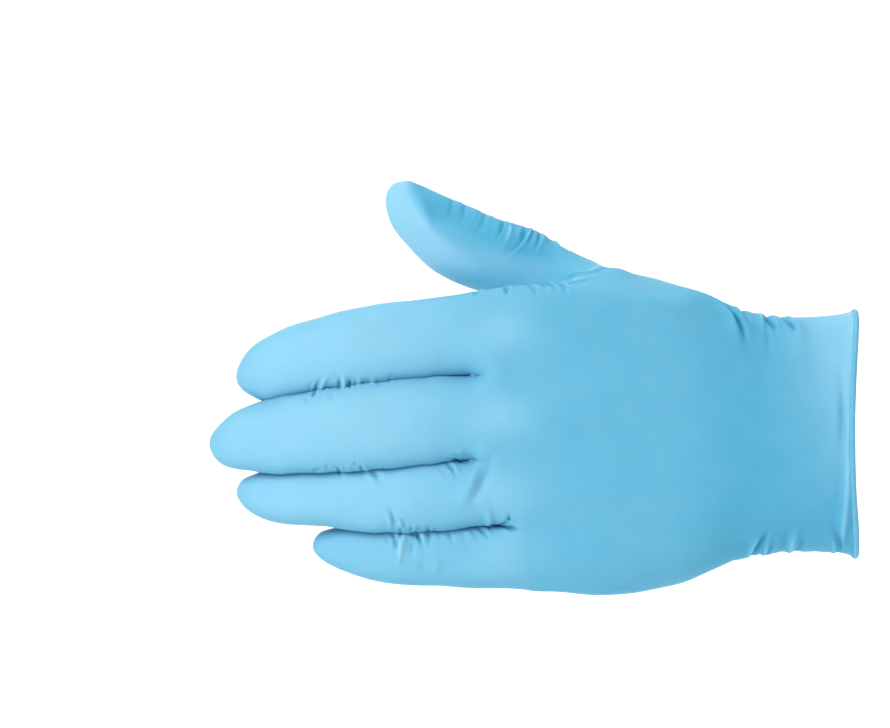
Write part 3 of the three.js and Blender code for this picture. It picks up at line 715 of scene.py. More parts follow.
    def add_finger(self, root: Sequence[int], i: int) -> None:
        """Adds one finger stall.

        Args:
            root: The ring of corners on which it stands.
            i: The finger's number.
        """
        finger = self.fingers[i]
        webs = [self.web_reach[i] * self.body_length, self.web_reach[i + 1] * self.body_length]
        end = max(webs) + finger.length
        ring = list(root)
        for k, row in enumerate(finger.rows):
            opening = self.finger_gap if k else self.web_opening
            beyond = mix(sum(webs) / 2, end, row.along) - self.body_length
            top = self.line_height(i, beyond) - row.upper * finger.width - opening / 2
            bottom = self.line_height(i + 1, beyond) + row.lower * finger.width + opening / 2
            half_width = (top - bottom) / 2
            half_depth = row.depth * finger.depth / 2
            following = []
            for j in range(len(root)):
                angle = 2 * math.pi * j / len(root)
                power = 2 / self.finger_squareness
                across = half_width * signed_power(math.cos(angle), power)
                through = -half_depth * signed_power(math.sin(angle), power)
                start = mix(webs[1], webs[0], (1 + across / half_width) / 2)
                y = self.root_depths[i] + row.curl * finger.length + through
                following.append(
                    self.add_point(-mix(start, end, row.along), y, (top + bottom) / 2 + across)
                )
            self.join_rings(ring, following)
            ring = following
        y = self.root_depths[i] + finger.tip_curl * finger.length
        self.close_tip(ring, self.add_point(-end, y, self.roots[i] + finger.tip_rise * finger.width))

    def thumb_middle(self, reach: float, away: float, rise: float) -> Array:
        """The middle of a section of the thumb.

        Args:
            reach: Its distance from the root along the glove, as a share of the thumb's length.
            away: How far it lies towards the palm's side, likewise.
            rise: How far it lies above the root, likewise.

        Returns:
            The place in millimetres.
        """
        root = self.thumb_root
        return np.array([
            -root[0] * self.body_length - reach * self.thumb_length,
            root[1] * self.hand_depth + away * self.thumb_length,
            root[2] * self.hand_breadth + rise * self.thumb_length,
        ])

    def add_thumb(self, opening: Sequence[int]) -> list[int]:
        """Adds the thumb.

        Args:
            opening: The corners of its opening in the body.

        Returns:
            The corners of its first ring, which may still settle.
        """
        middles = [self.thumb_middle(row.reach, row.away, row.rise) for row in THUMB_SECTIONS]
        tip = self.thumb_middle(*self.thumb_tip)
        sections = []
        for k, row in enumerate(THUMB_SECTIONS):
            after = middles[k + 1] if k + 1 < len(middles) else tip
            along = after - middles[max(0, k - 1)]
            outwards = np.array([along[2], 0.0, -along[0]])
            outwards /= np.linalg.norm(outwards)
            through = np.cross(along, outwards)
            through /= np.linalg.norm(through)
            section = []
            for j in range(len(opening)):
                angle = 2 * math.pi * (j - self.thumb_turn) / len(opening)
                power = 2 / self.finger_squareness
                across = row.width * self.thumb_width / 2 * signed_power(math.cos(angle), power)
                inwards = -row.depth * self.thumb_depth / 2 * signed_power(math.sin(angle), power)
                section.append(middles[k] + outwards * across + through * inwards)
            sections.append(section)
        joint = [(point + self.points[opening[j]]) / 2 for j, point in enumerate(sections[0])]
        rings = [[self.add_point(*point) for point in section] for section in [joint, *sections]]
        for near, far in zip([list(opening), *rings[:-1]], rings):
            self.join_rings(near, far)
        self.close_tip(rings[-1], self.add_point(*tip))
        return rings[0]

    def settle(self, free: Sequence[int]) -> None:
        """Lets some corners move until the film between the others bends as little as it can.

        Args:
            free: The corners that move.
        """
        around: dict[int, set[int]] = {}
        for face in self.faces:
            for i, corner in enumerate(face):
                following = face[(i + 1) % 4]
                around.setdefault(corner, set()).add(following)
                around.setdefault(following, set()).add(corner)
        touched = sorted(set(free) | {other for corner in free for other in around[corner]})
        places = np.array(self.points)
        number = {corner: k for k, corner in enumerate(touched)}
        near = [sorted(around[corner]) for corner in touched]
        bends = np.zeros((len(touched), 3))
        for _ in range(self.settle_rounds):
            for k, corner in enumerate(touched):
                bends[k] = places[near[k]].mean(axis=0) - places[corner]
            steps = []
            for corner in free:
                others = [number[other] for other in near[number[corner]]]
                steps.append(bends[others].mean(axis=0) - bends[number[corner]])
            places[list(free)] -= self.settle_step * np.array(steps)
        self.points = list(places)

    def build(self) -> tuple[Quads, Array]:
        """Makes the whole cage.

        Returns:
            Its faces, and corners through which the smooth surface of the film passes.
        """
        flare = self.cuff_breadth / self.hand_breadth
        deep = self.cuff_depth / self.hand_depth
        inset = self.mouth_inset / self.body_length
        mouth = BodySection(inset, flare, flare, deep, deep, 0.0, 0.0, 0.0)
        rings = [self.add_body_section(row) for row in (mouth, *BODY_SECTIONS)]
        rings.append(self.add_knuckles())
        # The thumb's opening takes the place of the faces between these two sections.
        far = len(BODY_SECTIONS) - 1
        near = far - 2
        columns = self.side_above + 1
        for k in range(len(rings) - 1):
            for column in range(columns):
                if column >= self.palm_end and near <= k < far:
                    continue
                following = (column + 1) % columns
                self.faces.append([
                    rings[k][column],
                    rings[k + 1][column],
                    rings[k + 1][following],
                    rings[k][following],
                ])
        a, b, c = rings[near], rings[near + 1], rings[far]
        above, end = self.side_above, self.palm_end
        opening = [a[above], a[0], b[0], c[0], c[above], c[end], b[end], a[end]]
        for hold in self.held:
            self.points[opening[hold.corner]] = np.array([
                -hold.along * self.body_length,
                hold.away * self.hand_depth,
                hold.rise * self.hand_breadth,
            ])
        fixed = {opening[hold.corner] for hold in self.held}
        joint = self.add_thumb(opening)
        free = [corner for corner in opening if corner not in fixed] + joint
        free += [ring[end - 1] for ring in (a, b, c)]
        webs = [
            self.add_point(
                -share * self.body_length,
                (self.root_depths[i] + self.root_depths[i + 1]) / 2,
                self.seams[i + 1],
            )
            for i, share in enumerate(self.web_reach[1:-1])
        ]
        for i in range(len(self.fingers)):
            first = len(self.faces)
            self.add_finger(self.finger_root(rings[-1], webs, i), i)
            self.finger_faces.append((first, len(self.faces)))
        self.settle(free)
        used = sorted({corner for face in self.faces for corner in face})
        renumbered = {old: k for k, old in enumerate(used)}
        points = np.array([self.points[old] for old in used])
        faces = np.array([[renumbered[corner] for corner in face] for face in self.faces])
        quads = Quads(faces, len(points))
        fitted = points.copy()
        for _ in range(self.fit_rounds):
            fitted += points - quads.onto_surface(fitted)
        return quads, fitted


@dataclass(frozen=True)
class Fold:
    """One fold of the film, looked at along its side's direction, in millimetres.

    It runs from (x, z) to (to_x, to_z), bowed sideways by bow. On the thumb's and the little
    finger's side z stands for the place through the hand. Width is half the breadth of the fold,
    and height is how far it lifts the film, or how deep a groove is.
    """

    x: float
    z: float
    to_x: float
    to_z: float
    width: float
    height: float
    kind: FoldKind = FoldKind.RIDGE
    bow: float = 0.0
    side: Side = Side.BACK
    peak: float = 0.5  # how far along it is at its highest


@dataclass(frozen=True)
class Bump:
    """One part of a fold's profile, in shares of the fold's height and width."""

    height: float
    place: float
    breadth: float
    both_sides: bool = False

    def at(self, distances: Array) -> Array:
        """Its height at distances from the fold's middle, which have a sign."""
        across = np.abs(distances) if self.both_sides else distances
        return self.height * np.exp(-(((across - self.place) / self.breadth) ** 2))


RIDGE, GROOVE, TUCK = FoldKind.RIDGE, FoldKind.GROOVE, FoldKind.TUCK

# A ridge sinks a little beside its foot, and film that goes into a groove or a tuck rises there.
PROFILES = {
    RIDGE: (Bump(1.0, 0.0, 1.0), Bump(-0.22, 1.9, 0.8, True)),
    GROOVE: (Bump(-1.0, 0.0, 0.75), Bump(0.2, 1.6, 0.8, True)),
    TUCK: (Bump(-1.0, 0.0, 0.6), Bump(0.75, 1.25, 0.7), Bump(0.15, -1.6, 0.9)),
}


def rooted(peak: float, *folds: Fold) -> tuple[Fold, ...]:
    """Folds that spring from an edge or a seam: they are highest near their start.

    Args:
        peak: How far along they are highest, if they have no peak of their own.
        folds: The folds.

    Returns:
        The folds with that peak.
    """
    return tuple(replace(fold, peak=peak) if fold.peak == Fold.peak else fold for fold in folds)


# The wrist, seen from the back of the hand.
WRIST_FOLDS = rooted(
    0.3,
    Fold(-45.4, 42.5, -39.2, 26.6, 1.7, 1.4, RIDGE, 1.3),
    Fold(-42.8, 42.0, -37.4, 26.4, 1.2, 1.3, GROOVE, 1.7),
    Fold(-39.6, 39.5, -35.4, 29.0, 1.6, 0.5, RIDGE, 1.0),
    Fold(-33.0, 38.6, -29.4, 31.0, 1.2, 0.6, RIDGE, 0.6, peak=0.45),
    Fold(-31.4, 39.2, -26.6, 31.4, 1.1, 1.0, GROOVE, 0.9, peak=0.45),
    Fold(-28.4, 38.6, -25.0, 33.0, 1.3, 0.6, RIDGE, 0.6, peak=0.45),
    Fold(-25.8, 38.8, -20.9, 31.0, 1.05, 1.1, GROOVE, 1.4, peak=0.48),
    Fold(-22.8, 38.8, -18.8, 30.0, 1.6, 0.7, RIDGE, 1.1, peak=0.45),
    Fold(-20.6, 33.6, -20.2, 20.0, 2.1, 0.55, RIDGE, 0.4),
    Fold(-36.6, -41.5, -30.4, -29.0, 1.4, 0.6, RIDGE, 0.7),
    Fold(-34.6, -41.5, -29.0, -29.6, 1.1, 1.15, GROOVE, 0.9),
    Fold(-31.8, -40.5, -29.0, -31.5, 1.0, 0.6, RIDGE, 0.3),
    Fold(-29.6, -40.0, -27.6, -33.0, 0.9, 0.8, GROOVE, 0.3),
    Fold(-25.0, -40.0, -22.0, -27.0, 1.6, 0.5, GROOVE, 0.5),
    Fold(-22.6, -40.0, -19.6, -26.5, 1.3, 0.85, RIDGE, 0.6),
    Fold(-19.8, -40.0, -18.4, -31.0, 1.3, 0.7, GROOVE, 0.3),
    Fold(-13.0, -40.0, -14.4, -30.5, 2.0, 0.6, GROOVE, 0.3),
    Fold(-6.0, -40.0, -10.0, -28.0, 1.1, 0.9, GROOVE, -0.9),
    Fold(-7.8, -40.0, -11.6, -29.0, 1.1, 0.6, RIDGE, -0.9),
)

# Beside the bead: the soft ridges and the gutter where the rolled film draws the cuff in.
CUFF_FOLDS = (
    Fold(-2.6, 35.0, -5.6, 2.0, 1.4, 0.85, RIDGE, 0.8),
    Fold(-5.4, 18.0, -5.9, -28.0, 1.2, 0.8, RIDGE, -0.3),
    Fold(-4.6, -6.0, -6.2, -38.5, 1.4, 0.9, RIDGE, -0.5, peak=0.7),
    Fold(-3.4, 12.0, -3.4, -37.0, 1.0, 0.85, GROOVE, 0.2),
    Fold(-7.8, 24.0, -8.0, -8.0, 1.4, 0.5, GROOVE, 0.3),
    Fold(-1.8, 33.0, -2.8, 4.0, 0.9, 0.55, GROOVE, 0.4),
)

# The puckers where the fingers lie against each other.
FINGER_FOLDS = rooted(
    0.1,
    Fold(-174.9, 12.6, -169.4, 22.0, 0.85, 0.95, RIDGE, 0.6),
    Fold(-176.6, 12.4, -173.2, 19.0, 0.75, 0.8, GROOVE, 0.4),
    Fold(-166.6, 15.2, -165.6, 21.4, 0.8, 0.9, RIDGE, 0.3),
    Fold(-168.2, 14.9, -167.4, 19.6, 0.65, 0.7, GROOVE, 0.2),
    Fold(-164.9, 15.3, -164.2, 18.6, 0.6, 0.6, GROOVE, 0.2),
    Fold(-161.7, 15.8, -160.7, 20.0, 0.7, 0.6, RIDGE, 0.2),
    Fold(-157.3, 16.2, -156.3, 19.8, 0.7, 0.55, RIDGE, 0.1),
    Fold(-152.1, 16.8, -150.8, 20.4, 0.7, 0.4, GROOVE, 0.1),
    Fold(-184.2, 10.6, -176.0, 12.4, 1.6, 0.6, RIDGE, 0.8),
    Fold(-170.6, 13.2, -170.0, 10.2, 0.8, 0.5, GROOVE, 0.1),
    Fold(-178.6, 11.8, -178.8, 8.8, 0.8, 0.5, GROOVE, 0.1),
    Fold(-176.8, -12.2, -172.4, -10.6, 0.9, 0.7, GROOVE, 0.2),
    Fold(-167.2, -10.4, -166.0, -16.0, 0.85, 0.8, RIDGE, 0.4),
    Fold(-168.8, -10.6, -168.2, -14.0, 0.65, 0.6, GROOVE, 0.2),
    Fold(-165.3, -10.0, -164.3, -15.8, 0.7, 0.6, RIDGE, 0.3),
    Fold(-159.8, -10.0, -158.6, -14.6, 0.75, 0.6, RIDGE, 0.3),
    Fold(-161.2, -10.2, -160.6, -13.2, 0.6, 0.5, GROOVE, 0.1),
    Fold(-172.0, -11.2, -171.4, -8.0, 0.8, 0.5, GROOVE, 0.1),
    Fold(-163.0, -10.4, -162.6, -7.4, 0.7, 0.5, GROOVE, 0.1),
    Fold(-151.0, -32.4, -149.6, -39.6, 1.0, 0.9, TUCK, 0.5),
    Fold(-148.6, -32.2, -147.4, -28.4, 0.7, 0.7, GROOVE, 0.1),
    Fold(-145.0, -31.8, -144.6, -28.0, 0.7, 0.7, GROOVE, 0.1),
    Fold(-142.6, -31.6, -142.2, -28.2, 0.7, 0.6, GROOVE, 0.1),
    Fold(-139.4, -31.6, -139.0, -28.2, 0.7, 0.6, GROOVE, 0.1),
    Fold(-146.4, -31.6, -148.8, -45.6, 1.1, 1.35, RIDGE, -0.9, peak=0.3),
    Fold(-143.6, -31.6, -140.6, -39.4, 0.9, 1.0, TUCK, 0.4),
    Fold(-141.2, -31.6, -139.6, -36.0, 0.8, 0.6, RIDGE, 0.3),
    Fold(-139.6, -31.8, -139.0, -36.6, 0.8, 0.7, GROOVE, 0.2),
    Fold(-132.8, -31.6, -130.8, -37.6, 0.9, 0.5, GROOVE, 0.3),
    Fold(-127.0, -31.2, -124.6, -36.0, 0.9, 0.45, RIDGE, 0.3),
)

# Longer folds across the ring finger and the little finger.
ACROSS_FOLDS = (
    Fold(-157.2, -12.2, -154.4, -16.8, 1.0, 0.6, GROOVE, 0.3, peak=0.15),
    Fold(-150.2, -30.6, -153.0, -21.0, 1.1, 0.75, TUCK, -0.5, peak=0.25),
    Fold(-146.4, -30.6, -149.7, -24.4, 1.0, 0.6, TUCK, -0.3, peak=0.2),
    Fold(-158.6, -13.6, -154.6, -20.5, 1.1, 0.3, RIDGE, 0.7),
    Fold(-137.0, -37.6, -137.8, -47.8, 1.3, 0.6, RIDGE, 0.6),
    Fold(-141.6, -39.5, -142.4, -46.5, 1.2, 0.4, GROOVE, 0.4),
)

# The folds that fan out from the webs.
WEB_FOLDS = (
    Fold(-132.2, -7.9, -126.8, -9.6, 0.9, 0.9, GROOVE, 0.2, peak=0.4),
    Fold(-133.4, -9.2, -130.0, -14.6, 1.0, 0.9, TUCK, 0.5, peak=0.3),
    Fold(-121.7, -6.6, -130.2, -24.4, 2.2, 2.1, RIDGE, 0.5, peak=0.4),
    Fold(-119.1, -7.9, -127.6, -25.7, 1.9, 0.9, GROOVE, 0.5, peak=0.42),
    Fold(-137.0, -11.6, -134.4, -15.8, 1.1, 0.45, RIDGE, 0.4, peak=0.3),
    Fold(-124.6, -16.5, -121.6, -22.5, 1.8, 0.4, RIDGE, 0.7),
    Fold(-113.2, -25.4, -113.6, -28.4, 0.9, 1.0, GROOVE, 0.1, peak=0.7),
    Fold(-113.6, -28.0, -118.8, -29.9, 0.9, 1.0, GROOVE, 0.5, peak=0.4),
    Fold(-120.3, -24.0, -120.1, -30.2, 1.1, 0.95, RIDGE, 0.5, peak=0.8),
    Fold(-123.2, -30.2, -119.0, -35.6, 1.0, 0.7, TUCK, 0.5, peak=0.2),
    Fold(-115.4, -29.8, -107.0, -32.0, 1.0, 0.8, TUCK, 0.4, peak=0.15),
    Fold(-116.4, -30.8, -110.0, -36.0, 1.4, 0.45, RIDGE, 0.7, peak=0.3),
    Fold(-125.6, 18.8, -118.6, 21.0, 1.6, 0.4, RIDGE, 0.5, peak=0.2),
    Fold(-125.0, 17.6, -117.5, 13.5, 1.7, 0.4, RIDGE, 0.6, peak=0.2),
)

# The upper edge of the index finger.
INDEX_FOLDS = rooted(
    0.15,
    Fold(-123.6, 47.4, -125.4, 42.8, 0.9, 0.7, GROOVE, 0.2),
    Fold(-121.6, 47.4, -122.6, 43.6, 0.9, 0.4, RIDGE, 0.2),
    Fold(-114.6, 48.2, -114.0, 43.4, 0.85, 0.8, GROOVE, 0.2),
    Fold(-112.6, 48.2, -111.8, 44.0, 0.8, 0.5, RIDGE, 0.2),
    Fold(-107.2, 48.4, -103.6, 43.6, 0.95, 0.85, TUCK, 0.4),
    Fold(-104.4, 48.6, -102.6, 45.0, 0.8, 0.5, RIDGE, 0.2),
    Fold(-102.0, 48.8, -100.3, 44.4, 0.8, 0.7, GROOVE, 0.2),
    Fold(-100.0, 48.9, -97.2, 44.2, 0.9, 0.8, TUCK, 0.3),
    Fold(-96.8, 48.9, -94.2, 43.8, 0.9, 0.75, GROOVE, 0.2),
    Fold(-95.0, 48.8, -92.4, 44.8, 0.9, 0.5, RIDGE, 0.2),
)

# The web of the thumb and the long, soft edge between the thumb's pad and its wrinkled side.
THUMB_FORMS = (
    Fold(-96.6, 48.6, -85.6, 51.3, 0.85, 1.3, RIDGE, -0.5),
    Fold(-94.0, 51.6, -88.0, 52.9, 0.8, 0.5, RIDGE, 0.2, peak=0.3),
    Fold(-89.8, 52.4, -80.3, 53.8, 0.85, 1.3, RIDGE, -0.4),
    Fold(-97.0, 50.4, -88.0, 53.4, 1.2, 0.45, GROOVE, -0.5),
    Fold(-91.4, 59.8, -84.2, 55.6, 1.3, 0.8, GROOVE, 0.6),
    Fold(-146.2, 84.0, -137.6, 66.8, 1.9, 1.2, RIDGE, 0.9, peak=0.5),
    Fold(-139.4, 69.6, -117.0, 55.4, 2.8, 1.3, RIDGE, 1.6, peak=0.35),
    Fold(-141.5, 80.0, -112.0, 60.0, 5.2, 1.7, GROOVE, 0.4, peak=0.35),
    Fold(-86.0, 8.0, -70.0, 2.0, 5.5, 1.7, RIDGE, 0.0, Side.THUMB_SIDE),
)

# The wrinkles across the thumb's upper side, from its outline.
THUMB_FOLDS = rooted(
    0.2,
    Fold(-131.2, 78.6, -134.0, 69.6, 1.01, 0.48, GROOVE, 0.4),
    Fold(-128.8, 77.8, -131.4, 70.4, 0.92, 0.32, RIDGE, 0.4),
    Fold(-126.8, 77.0, -129.8, 68.2, 0.92, 0.48, GROOVE, 0.4),
    Fold(-123.8, 75.6, -126.8, 67.4, 0.92, 0.36, RIDGE, 0.4),
    Fold(-120.0, 73.8, -125.2, 64.8, 0.92, 0.56, GROOVE, 0.5),
    Fold(-117.8, 72.6, -121.6, 64.6, 0.84, 0.40, RIDGE, 0.4),
    Fold(-114.0, 71.2, -118.8, 61.6, 0.84, 0.88, TUCK, 0.6),
    Fold(-111.2, 69.8, -117.6, 57.4, 1.09, 0.76, RIDGE, 0.9),
    Fold(-106.8, 69.0, -110.4, 61.6, 0.80, 0.64, GROOVE, 0.4),
    Fold(-106.0, 68.8, -115.6, 57.2, 1.01, 0.76, TUCK, 1.3),
    Fold(-104.0, 68.2, -106.4, 61.6, 0.76, 0.64, GROOVE, 0.2),
    Fold(-102.0, 67.6, -105.2, 57.8, 0.88, 0.76, TUCK, 0.5),
    Fold(-100.0, 66.8, -97.0, 60.6, 0.84, 0.56, GROOVE, 0.3),
    Fold(-98.6, 65.4, -93.6, 56.6, 1.09, 0.48, RIDGE, 0.6),
    Fold(-95.6, 64.0, -91.0, 57.4, 0.84, 0.40, GROOVE, 0.4),
)

# The palm, the inner side of the fingers and the sides, which the photograph doesn't show: the
# creases where a hand bends, and the slack that a relaxed hand leaves.
PALM_FOLDS = (
    Fold(-95.0, 33.0, -72.0, -6.0, 1.6, 1.0, GROOVE, 7.0, Side.PALM),
    Fold(-104.0, 30.0, -96.0, -22.0, 1.5, 0.85, GROOVE, -5.0, Side.PALM),
    Fold(-108.0, 6.0, -98.0, -40.0, 1.4, 0.85, GROOVE, 4.0, Side.PALM),
    Fold(-126.0, 20.5, -126.5, 44.0, 1.2, 0.7, GROOVE, 0.8, Side.PALM),
    Fold(-128.0, -6.5, -128.0, 16.0, 1.2, 0.7, GROOVE, 0.8, Side.PALM),
    Fold(-125.0, -28.5, -126.0, -10.5, 1.1, 0.7, GROOVE, 0.7, Side.PALM),
    Fold(-117.5, -48.0, -119.0, -32.0, 1.1, 0.7, GROOVE, 0.6, Side.PALM),
    Fold(-151.0, 18.5, -150.0, 41.0, 1.0, 0.6, TUCK, 0.6, Side.PALM),
    Fold(-156.0, -9.0, -155.0, 16.0, 1.0, 0.6, TUCK, 0.6, Side.PALM),
    Fold(-149.0, -30.0, -148.0, -12.0, 1.0, 0.6, TUCK, 0.5, Side.PALM),
    Fold(-136.0, -47.5, -135.0, -33.0, 0.9, 0.5, TUCK, 0.5, Side.PALM),
    Fold(-153.6, 22.0, -152.8, 36.0, 0.9, 0.45, RIDGE, 0.6, Side.PALM),
    Fold(-146.0, -26.0, -145.4, -14.0, 0.9, 0.4, RIDGE, 0.5, Side.PALM),
    Fold(-172.0, 14.5, -171.0, 36.0, 1.0, 0.45, GROOVE, 0.5, Side.PALM),
    Fold(-179.0, -10.5, -178.0, 11.0, 1.0, 0.45, GROOVE, 0.5, Side.PALM),
    Fold(-171.0, -30.0, -170.0, -13.0, 0.9, 0.45, GROOVE, 0.4, Side.PALM),
    Fold(-31.0, -30.0, -29.0, 12.0, 1.6, 0.9, TUCK, 2.0, Side.PALM),
    Fold(-36.0, -14.0, -33.0, 32.0, 1.7, 1.0, TUCK, -2.6, Side.PALM),
    Fold(-41.0, -34.0, -37.0, -6.0, 1.6, 0.9, TUCK, 1.8, Side.PALM),
    Fold(-24.0, -36.0, -20.5, -14.0, 1.3, 0.8, TUCK, 1.2, Side.PALM),
    Fold(-28.0, 36.5, -24.5, 18.0, 1.2, 0.9, GROOVE, 0.9, Side.PALM),
    Fold(-25.0, 4.0, -22.0, 34.0, 1.4, 0.7, RIDGE, 1.2, Side.PALM),
    Fold(-17.0, -34.0, -14.0, -20.0, 1.2, 0.6, GROOVE, 0.8, Side.PALM),
    Fold(-6.0, -20.0, -5.0, 22.0, 1.3, 0.5, RIDGE, 0.8, Side.PALM),
    Fold(-52.0, 40.0, -44.0, 22.0, 1.6, 0.9, TUCK, 1.4, Side.PALM),
    Fold(-80.0, 44.0, -88.0, 30.0, 1.6, 0.9, GROOVE, 1.5, Side.PALM),
    Fold(-93.0, 43.0, -87.0, 29.0, 1.3, 0.8, TUCK, 1.2, Side.PALM),
    Fold(-99.0, 41.0, -95.0, 30.0, 1.2, 0.7, TUCK, 0.8, Side.PALM),
    Fold(-105.0, 40.0, -104.0, 31.0, 1.1, 0.6, GROOVE, 0.5, Side.PALM),
    Fold(-70.0, -38.0, -60.0, -22.0, 1.7, 0.6, RIDGE, 1.5, Side.PALM),
    Fold(-96.0, -44.0, -84.0, -30.0, 1.4, 0.6, TUCK, 1.2, Side.PALM),
    Fold(-30.0, -14.0, -27.0, 8.0, 1.4, 0.8, TUCK, 1.2, Side.THUMB_SIDE),
    Fold(-37.0, -8.0, -36.0, 16.0, 1.5, 0.8, TUCK, 1.4, Side.THUMB_SIDE),
    Fold(-31.0, -12.0, -29.0, 12.0, 1.5, 0.8, TUCK, 1.4, Side.LITTLE_SIDE),
    Fold(-37.0, -6.0, -38.0, 14.0, 1.5, 0.7, RIDGE, 1.4, Side.LITTLE_SIDE),
    Fold(-110.0, 5.0, -97.0, 14.0, 1.5, 0.6, GROOVE, 1.6, Side.LITTLE_SIDE),
)


@dataclass
class FoldField:
    """How far all folds and the film's slight unevenness lift it at a place."""

    folds: tuple[Fold, ...]
    samples: int = 40
    fewest: int = 4  # samples that have to meet the skin
    away: float = 200.0  # mm from the glove's middle, where a ray at the skin starts
    span: float = 3.6  # widths round a path within which a fold is felt
    beside_path: float = 0.6  # share of a distance that is sideways, past which it all counts
    first_height: float = 0.3  # of a fold at its start
    past_end: float = 0.9  # widths past an end over which a fold fades
    painted_fold_width: float = 1.6  # mm, the width up to which a fold gets painted shade in its groove and a painted highlight on its crest
    lone_width: float = 1.35  # mm, past which no smaller fold lies beside a fold
    lone_height: float = 0.5  # mm, below which none does
    companions: float = 0.42  # the height of the smaller folds, as a share of their fold's
    aside: tuple[float, float] = (2.0, 2.9)  # widths from their fold
    ahead: tuple[float, float] = (-0.05, 0.12)  # of their fold's length, where they start
    shorter: tuple[float, float] = (0.45, 0.8)  # of its length, how long they are
    turned: tuple[float, float] = (0.0, 1.0)  # mm by which they turn away
    narrower: tuple[float, float] = (0.7, 0.9)
    lower: tuple[float, float] = (0.7, 1.2)
    uneven: float = 0.28  # mm, how far the film is from a perfectly smooth form
    waves: int = 14
    wave_lengths: tuple[float, float] = (13.0, 38.0)  # mm
    seed: int = 7
    paths: list[tuple[Fold, Array, Array, Array]] = field(default_factory=list)

    def lay(self, skin: Quads, points: Array) -> None:
        """Lays each fold's path on the skin.

        Args:
            skin: The faces of the skin.
            points: Its corners in millimetres.
        """
        tree = BVHTree.FromPolygons(points.tolist(), skin.faces.tolist())
        for fold in self.folds + self.beside():
            path = self.trace(fold, tree)
            if len(path[0]) < self.fewest:
                log.info("a fold at %.0f, %.0f lies past the film and is left out", fold.x, fold.z)
                continue
            self.paths.append((fold, *path))

    def beside(self) -> tuple[Fold, ...]:
        """The smaller folds that film throws up beside each narrow fold.

        Returns:
            Up to two folds for each narrow one, the same on each run.
        """
        random = np.random.default_rng(self.seed)
        smaller = []
        for fold in self.folds:
            if fold.width > self.lone_width or fold.height < self.lone_height:
                continue
            run = np.array([fold.to_x - fold.x, fold.to_z - fold.z])
            across = np.array([-run[1], run[0]]) / np.linalg.norm(run)
            for side in (-1, 1)[: random.integers(0, 3)]:
                shift = across * side * fold.width * random.uniform(*self.aside)
                shift = shift + run * random.uniform(*self.ahead)
                turned = run * random.uniform(*self.shorter)
                turned = turned + across * side * random.uniform(*self.turned)
                smaller.append(
                    replace(
                        fold,
                        x=float(fold.x + shift[0]),
                        z=float(fold.z + shift[1]),
                        to_x=float(fold.x + shift[0] + turned[0]),
                        to_z=float(fold.z + shift[1] + turned[1]),
                        width=fold.width * random.uniform(*self.narrower),
                        height=fold.height * self.companions * random.uniform(*self.lower),
                        kind=RIDGE if random.random() < 0.5 else GROOVE,
                    )
                )
        return tuple(smaller)

    def trace(self, fold: Fold, tree: BVHTree) -> tuple[Array, Array, Array]:
        """Follows one fold over the skin.

        Args:
            fold: The fold.
            tree: The skin.

        Returns:
            Places on the skin, the outward directions there and how far along each one is.
        """
        looking = Vector(fold.side.value)
        run = np.array([fold.to_x - fold.x, fold.to_z - fold.z])
        across = np.array([-run[1], run[0]]) / max(np.linalg.norm(run), 1e-6)
        places = []
        normals = []
        shares = []
        for t in np.linspace(0, 1, self.samples):
            flat = np.array([fold.x, fold.z]) + run * t + across * fold.bow * 4 * t * (1 - t)
            if fold.side in (Side.BACK, Side.PALM):
                start = Vector((flat[0], 0, flat[1]))
            else:
                start = Vector((flat[0], flat[1], 0))
            place, normal, _, _ = tree.ray_cast(start - looking * self.away, looking)
            if place is not None:
                places.append(place)
                normals.append(normal)
                shares.append(t)
        return np.array(places), np.array(normals), np.array(shares)

    def unevenness(self, points: Array) -> Array:
        """Long, soft waves of the film, the same on each run.

        Args:
            points: Places in millimetres.

        Returns:
            The lift at each place.
        """
        random = np.random.default_rng(self.seed)
        total = np.zeros(len(points))
        for _ in range(self.waves):
            direction = random.normal(size=3)
            direction /= np.linalg.norm(direction)
            length = random.uniform(*self.wave_lengths)
            phase = random.uniform(0, 2 * math.pi)
            total += np.sin(2 * math.pi * (points @ direction) / length + phase)
        return self.uneven * total / math.sqrt(self.waves)

    def lift(self, points: Array, normals: Array) -> tuple[Array, Array]:
        """How far the film is lifted at each place.

        Args:
            points: Places on the smooth skin in millimetres.
            normals: The outward directions there.

        Returns:
            The lift in millimetres, and the part of it that comes from narrow folds, from which
            shade and highlights are painted.
        """
        total = np.zeros(len(points))
        narrow = np.zeros(len(points))
        for fold, path, outwards, shares in self.paths:
            reach = self.span * fold.width
            low, high = path.min(axis=0) - reach, path.max(axis=0) + reach
            near = np.where(np.all((points > low) & (points < high), axis=1))[0]
            if not len(near):
                continue
            apart = points[near][:, None, :] - path[None, :, :]
            distance = np.linalg.norm(apart, axis=2)
            closest = distance.argmin(axis=1)
            rows = np.arange(len(near))
            gap = distance[rows, closest]
            ahead = np.gradient(path, axis=0)
            sideways = np.cross(outwards, ahead)
            sideways /= np.maximum(np.linalg.norm(sideways, axis=1, keepdims=True), 1e-9)
            signed = np.einsum("ij,ij->i", apart[rows, closest], sideways[closest])
            beside = np.abs(signed) > self.beside_path * gap
            signed = np.where(beside, np.sign(signed) * gap, signed)
            past = np.sqrt(np.maximum(gap**2 - signed**2, 0))
            t = shares[closest]
            rise = np.where(t < fold.peak, t / fold.peak, (1 - t) / (1 - fold.peak))
            rise = np.clip(rise, 0, 1)
            fade = np.where(t < fold.peak, mix(self.first_height, 1.0, rise), eased(rise))
            fade *= np.exp(-((past / (self.past_end * fold.width)) ** 2))
            facing = np.clip(np.einsum("ij,ij->i", normals[near], outwards[closest]), 0, 1)
            profile = sum(bump.at(signed / fold.width) for bump in PROFILES[fold.kind])
            lift = fold.height * profile * fade * facing**0.5
            total[near] += lift
            # Narrow folds get painted shade in their grooves and a painted highlight on their crests.
            if fold.width < self.painted_fold_width:
                narrow[near] += lift
        return total, narrow


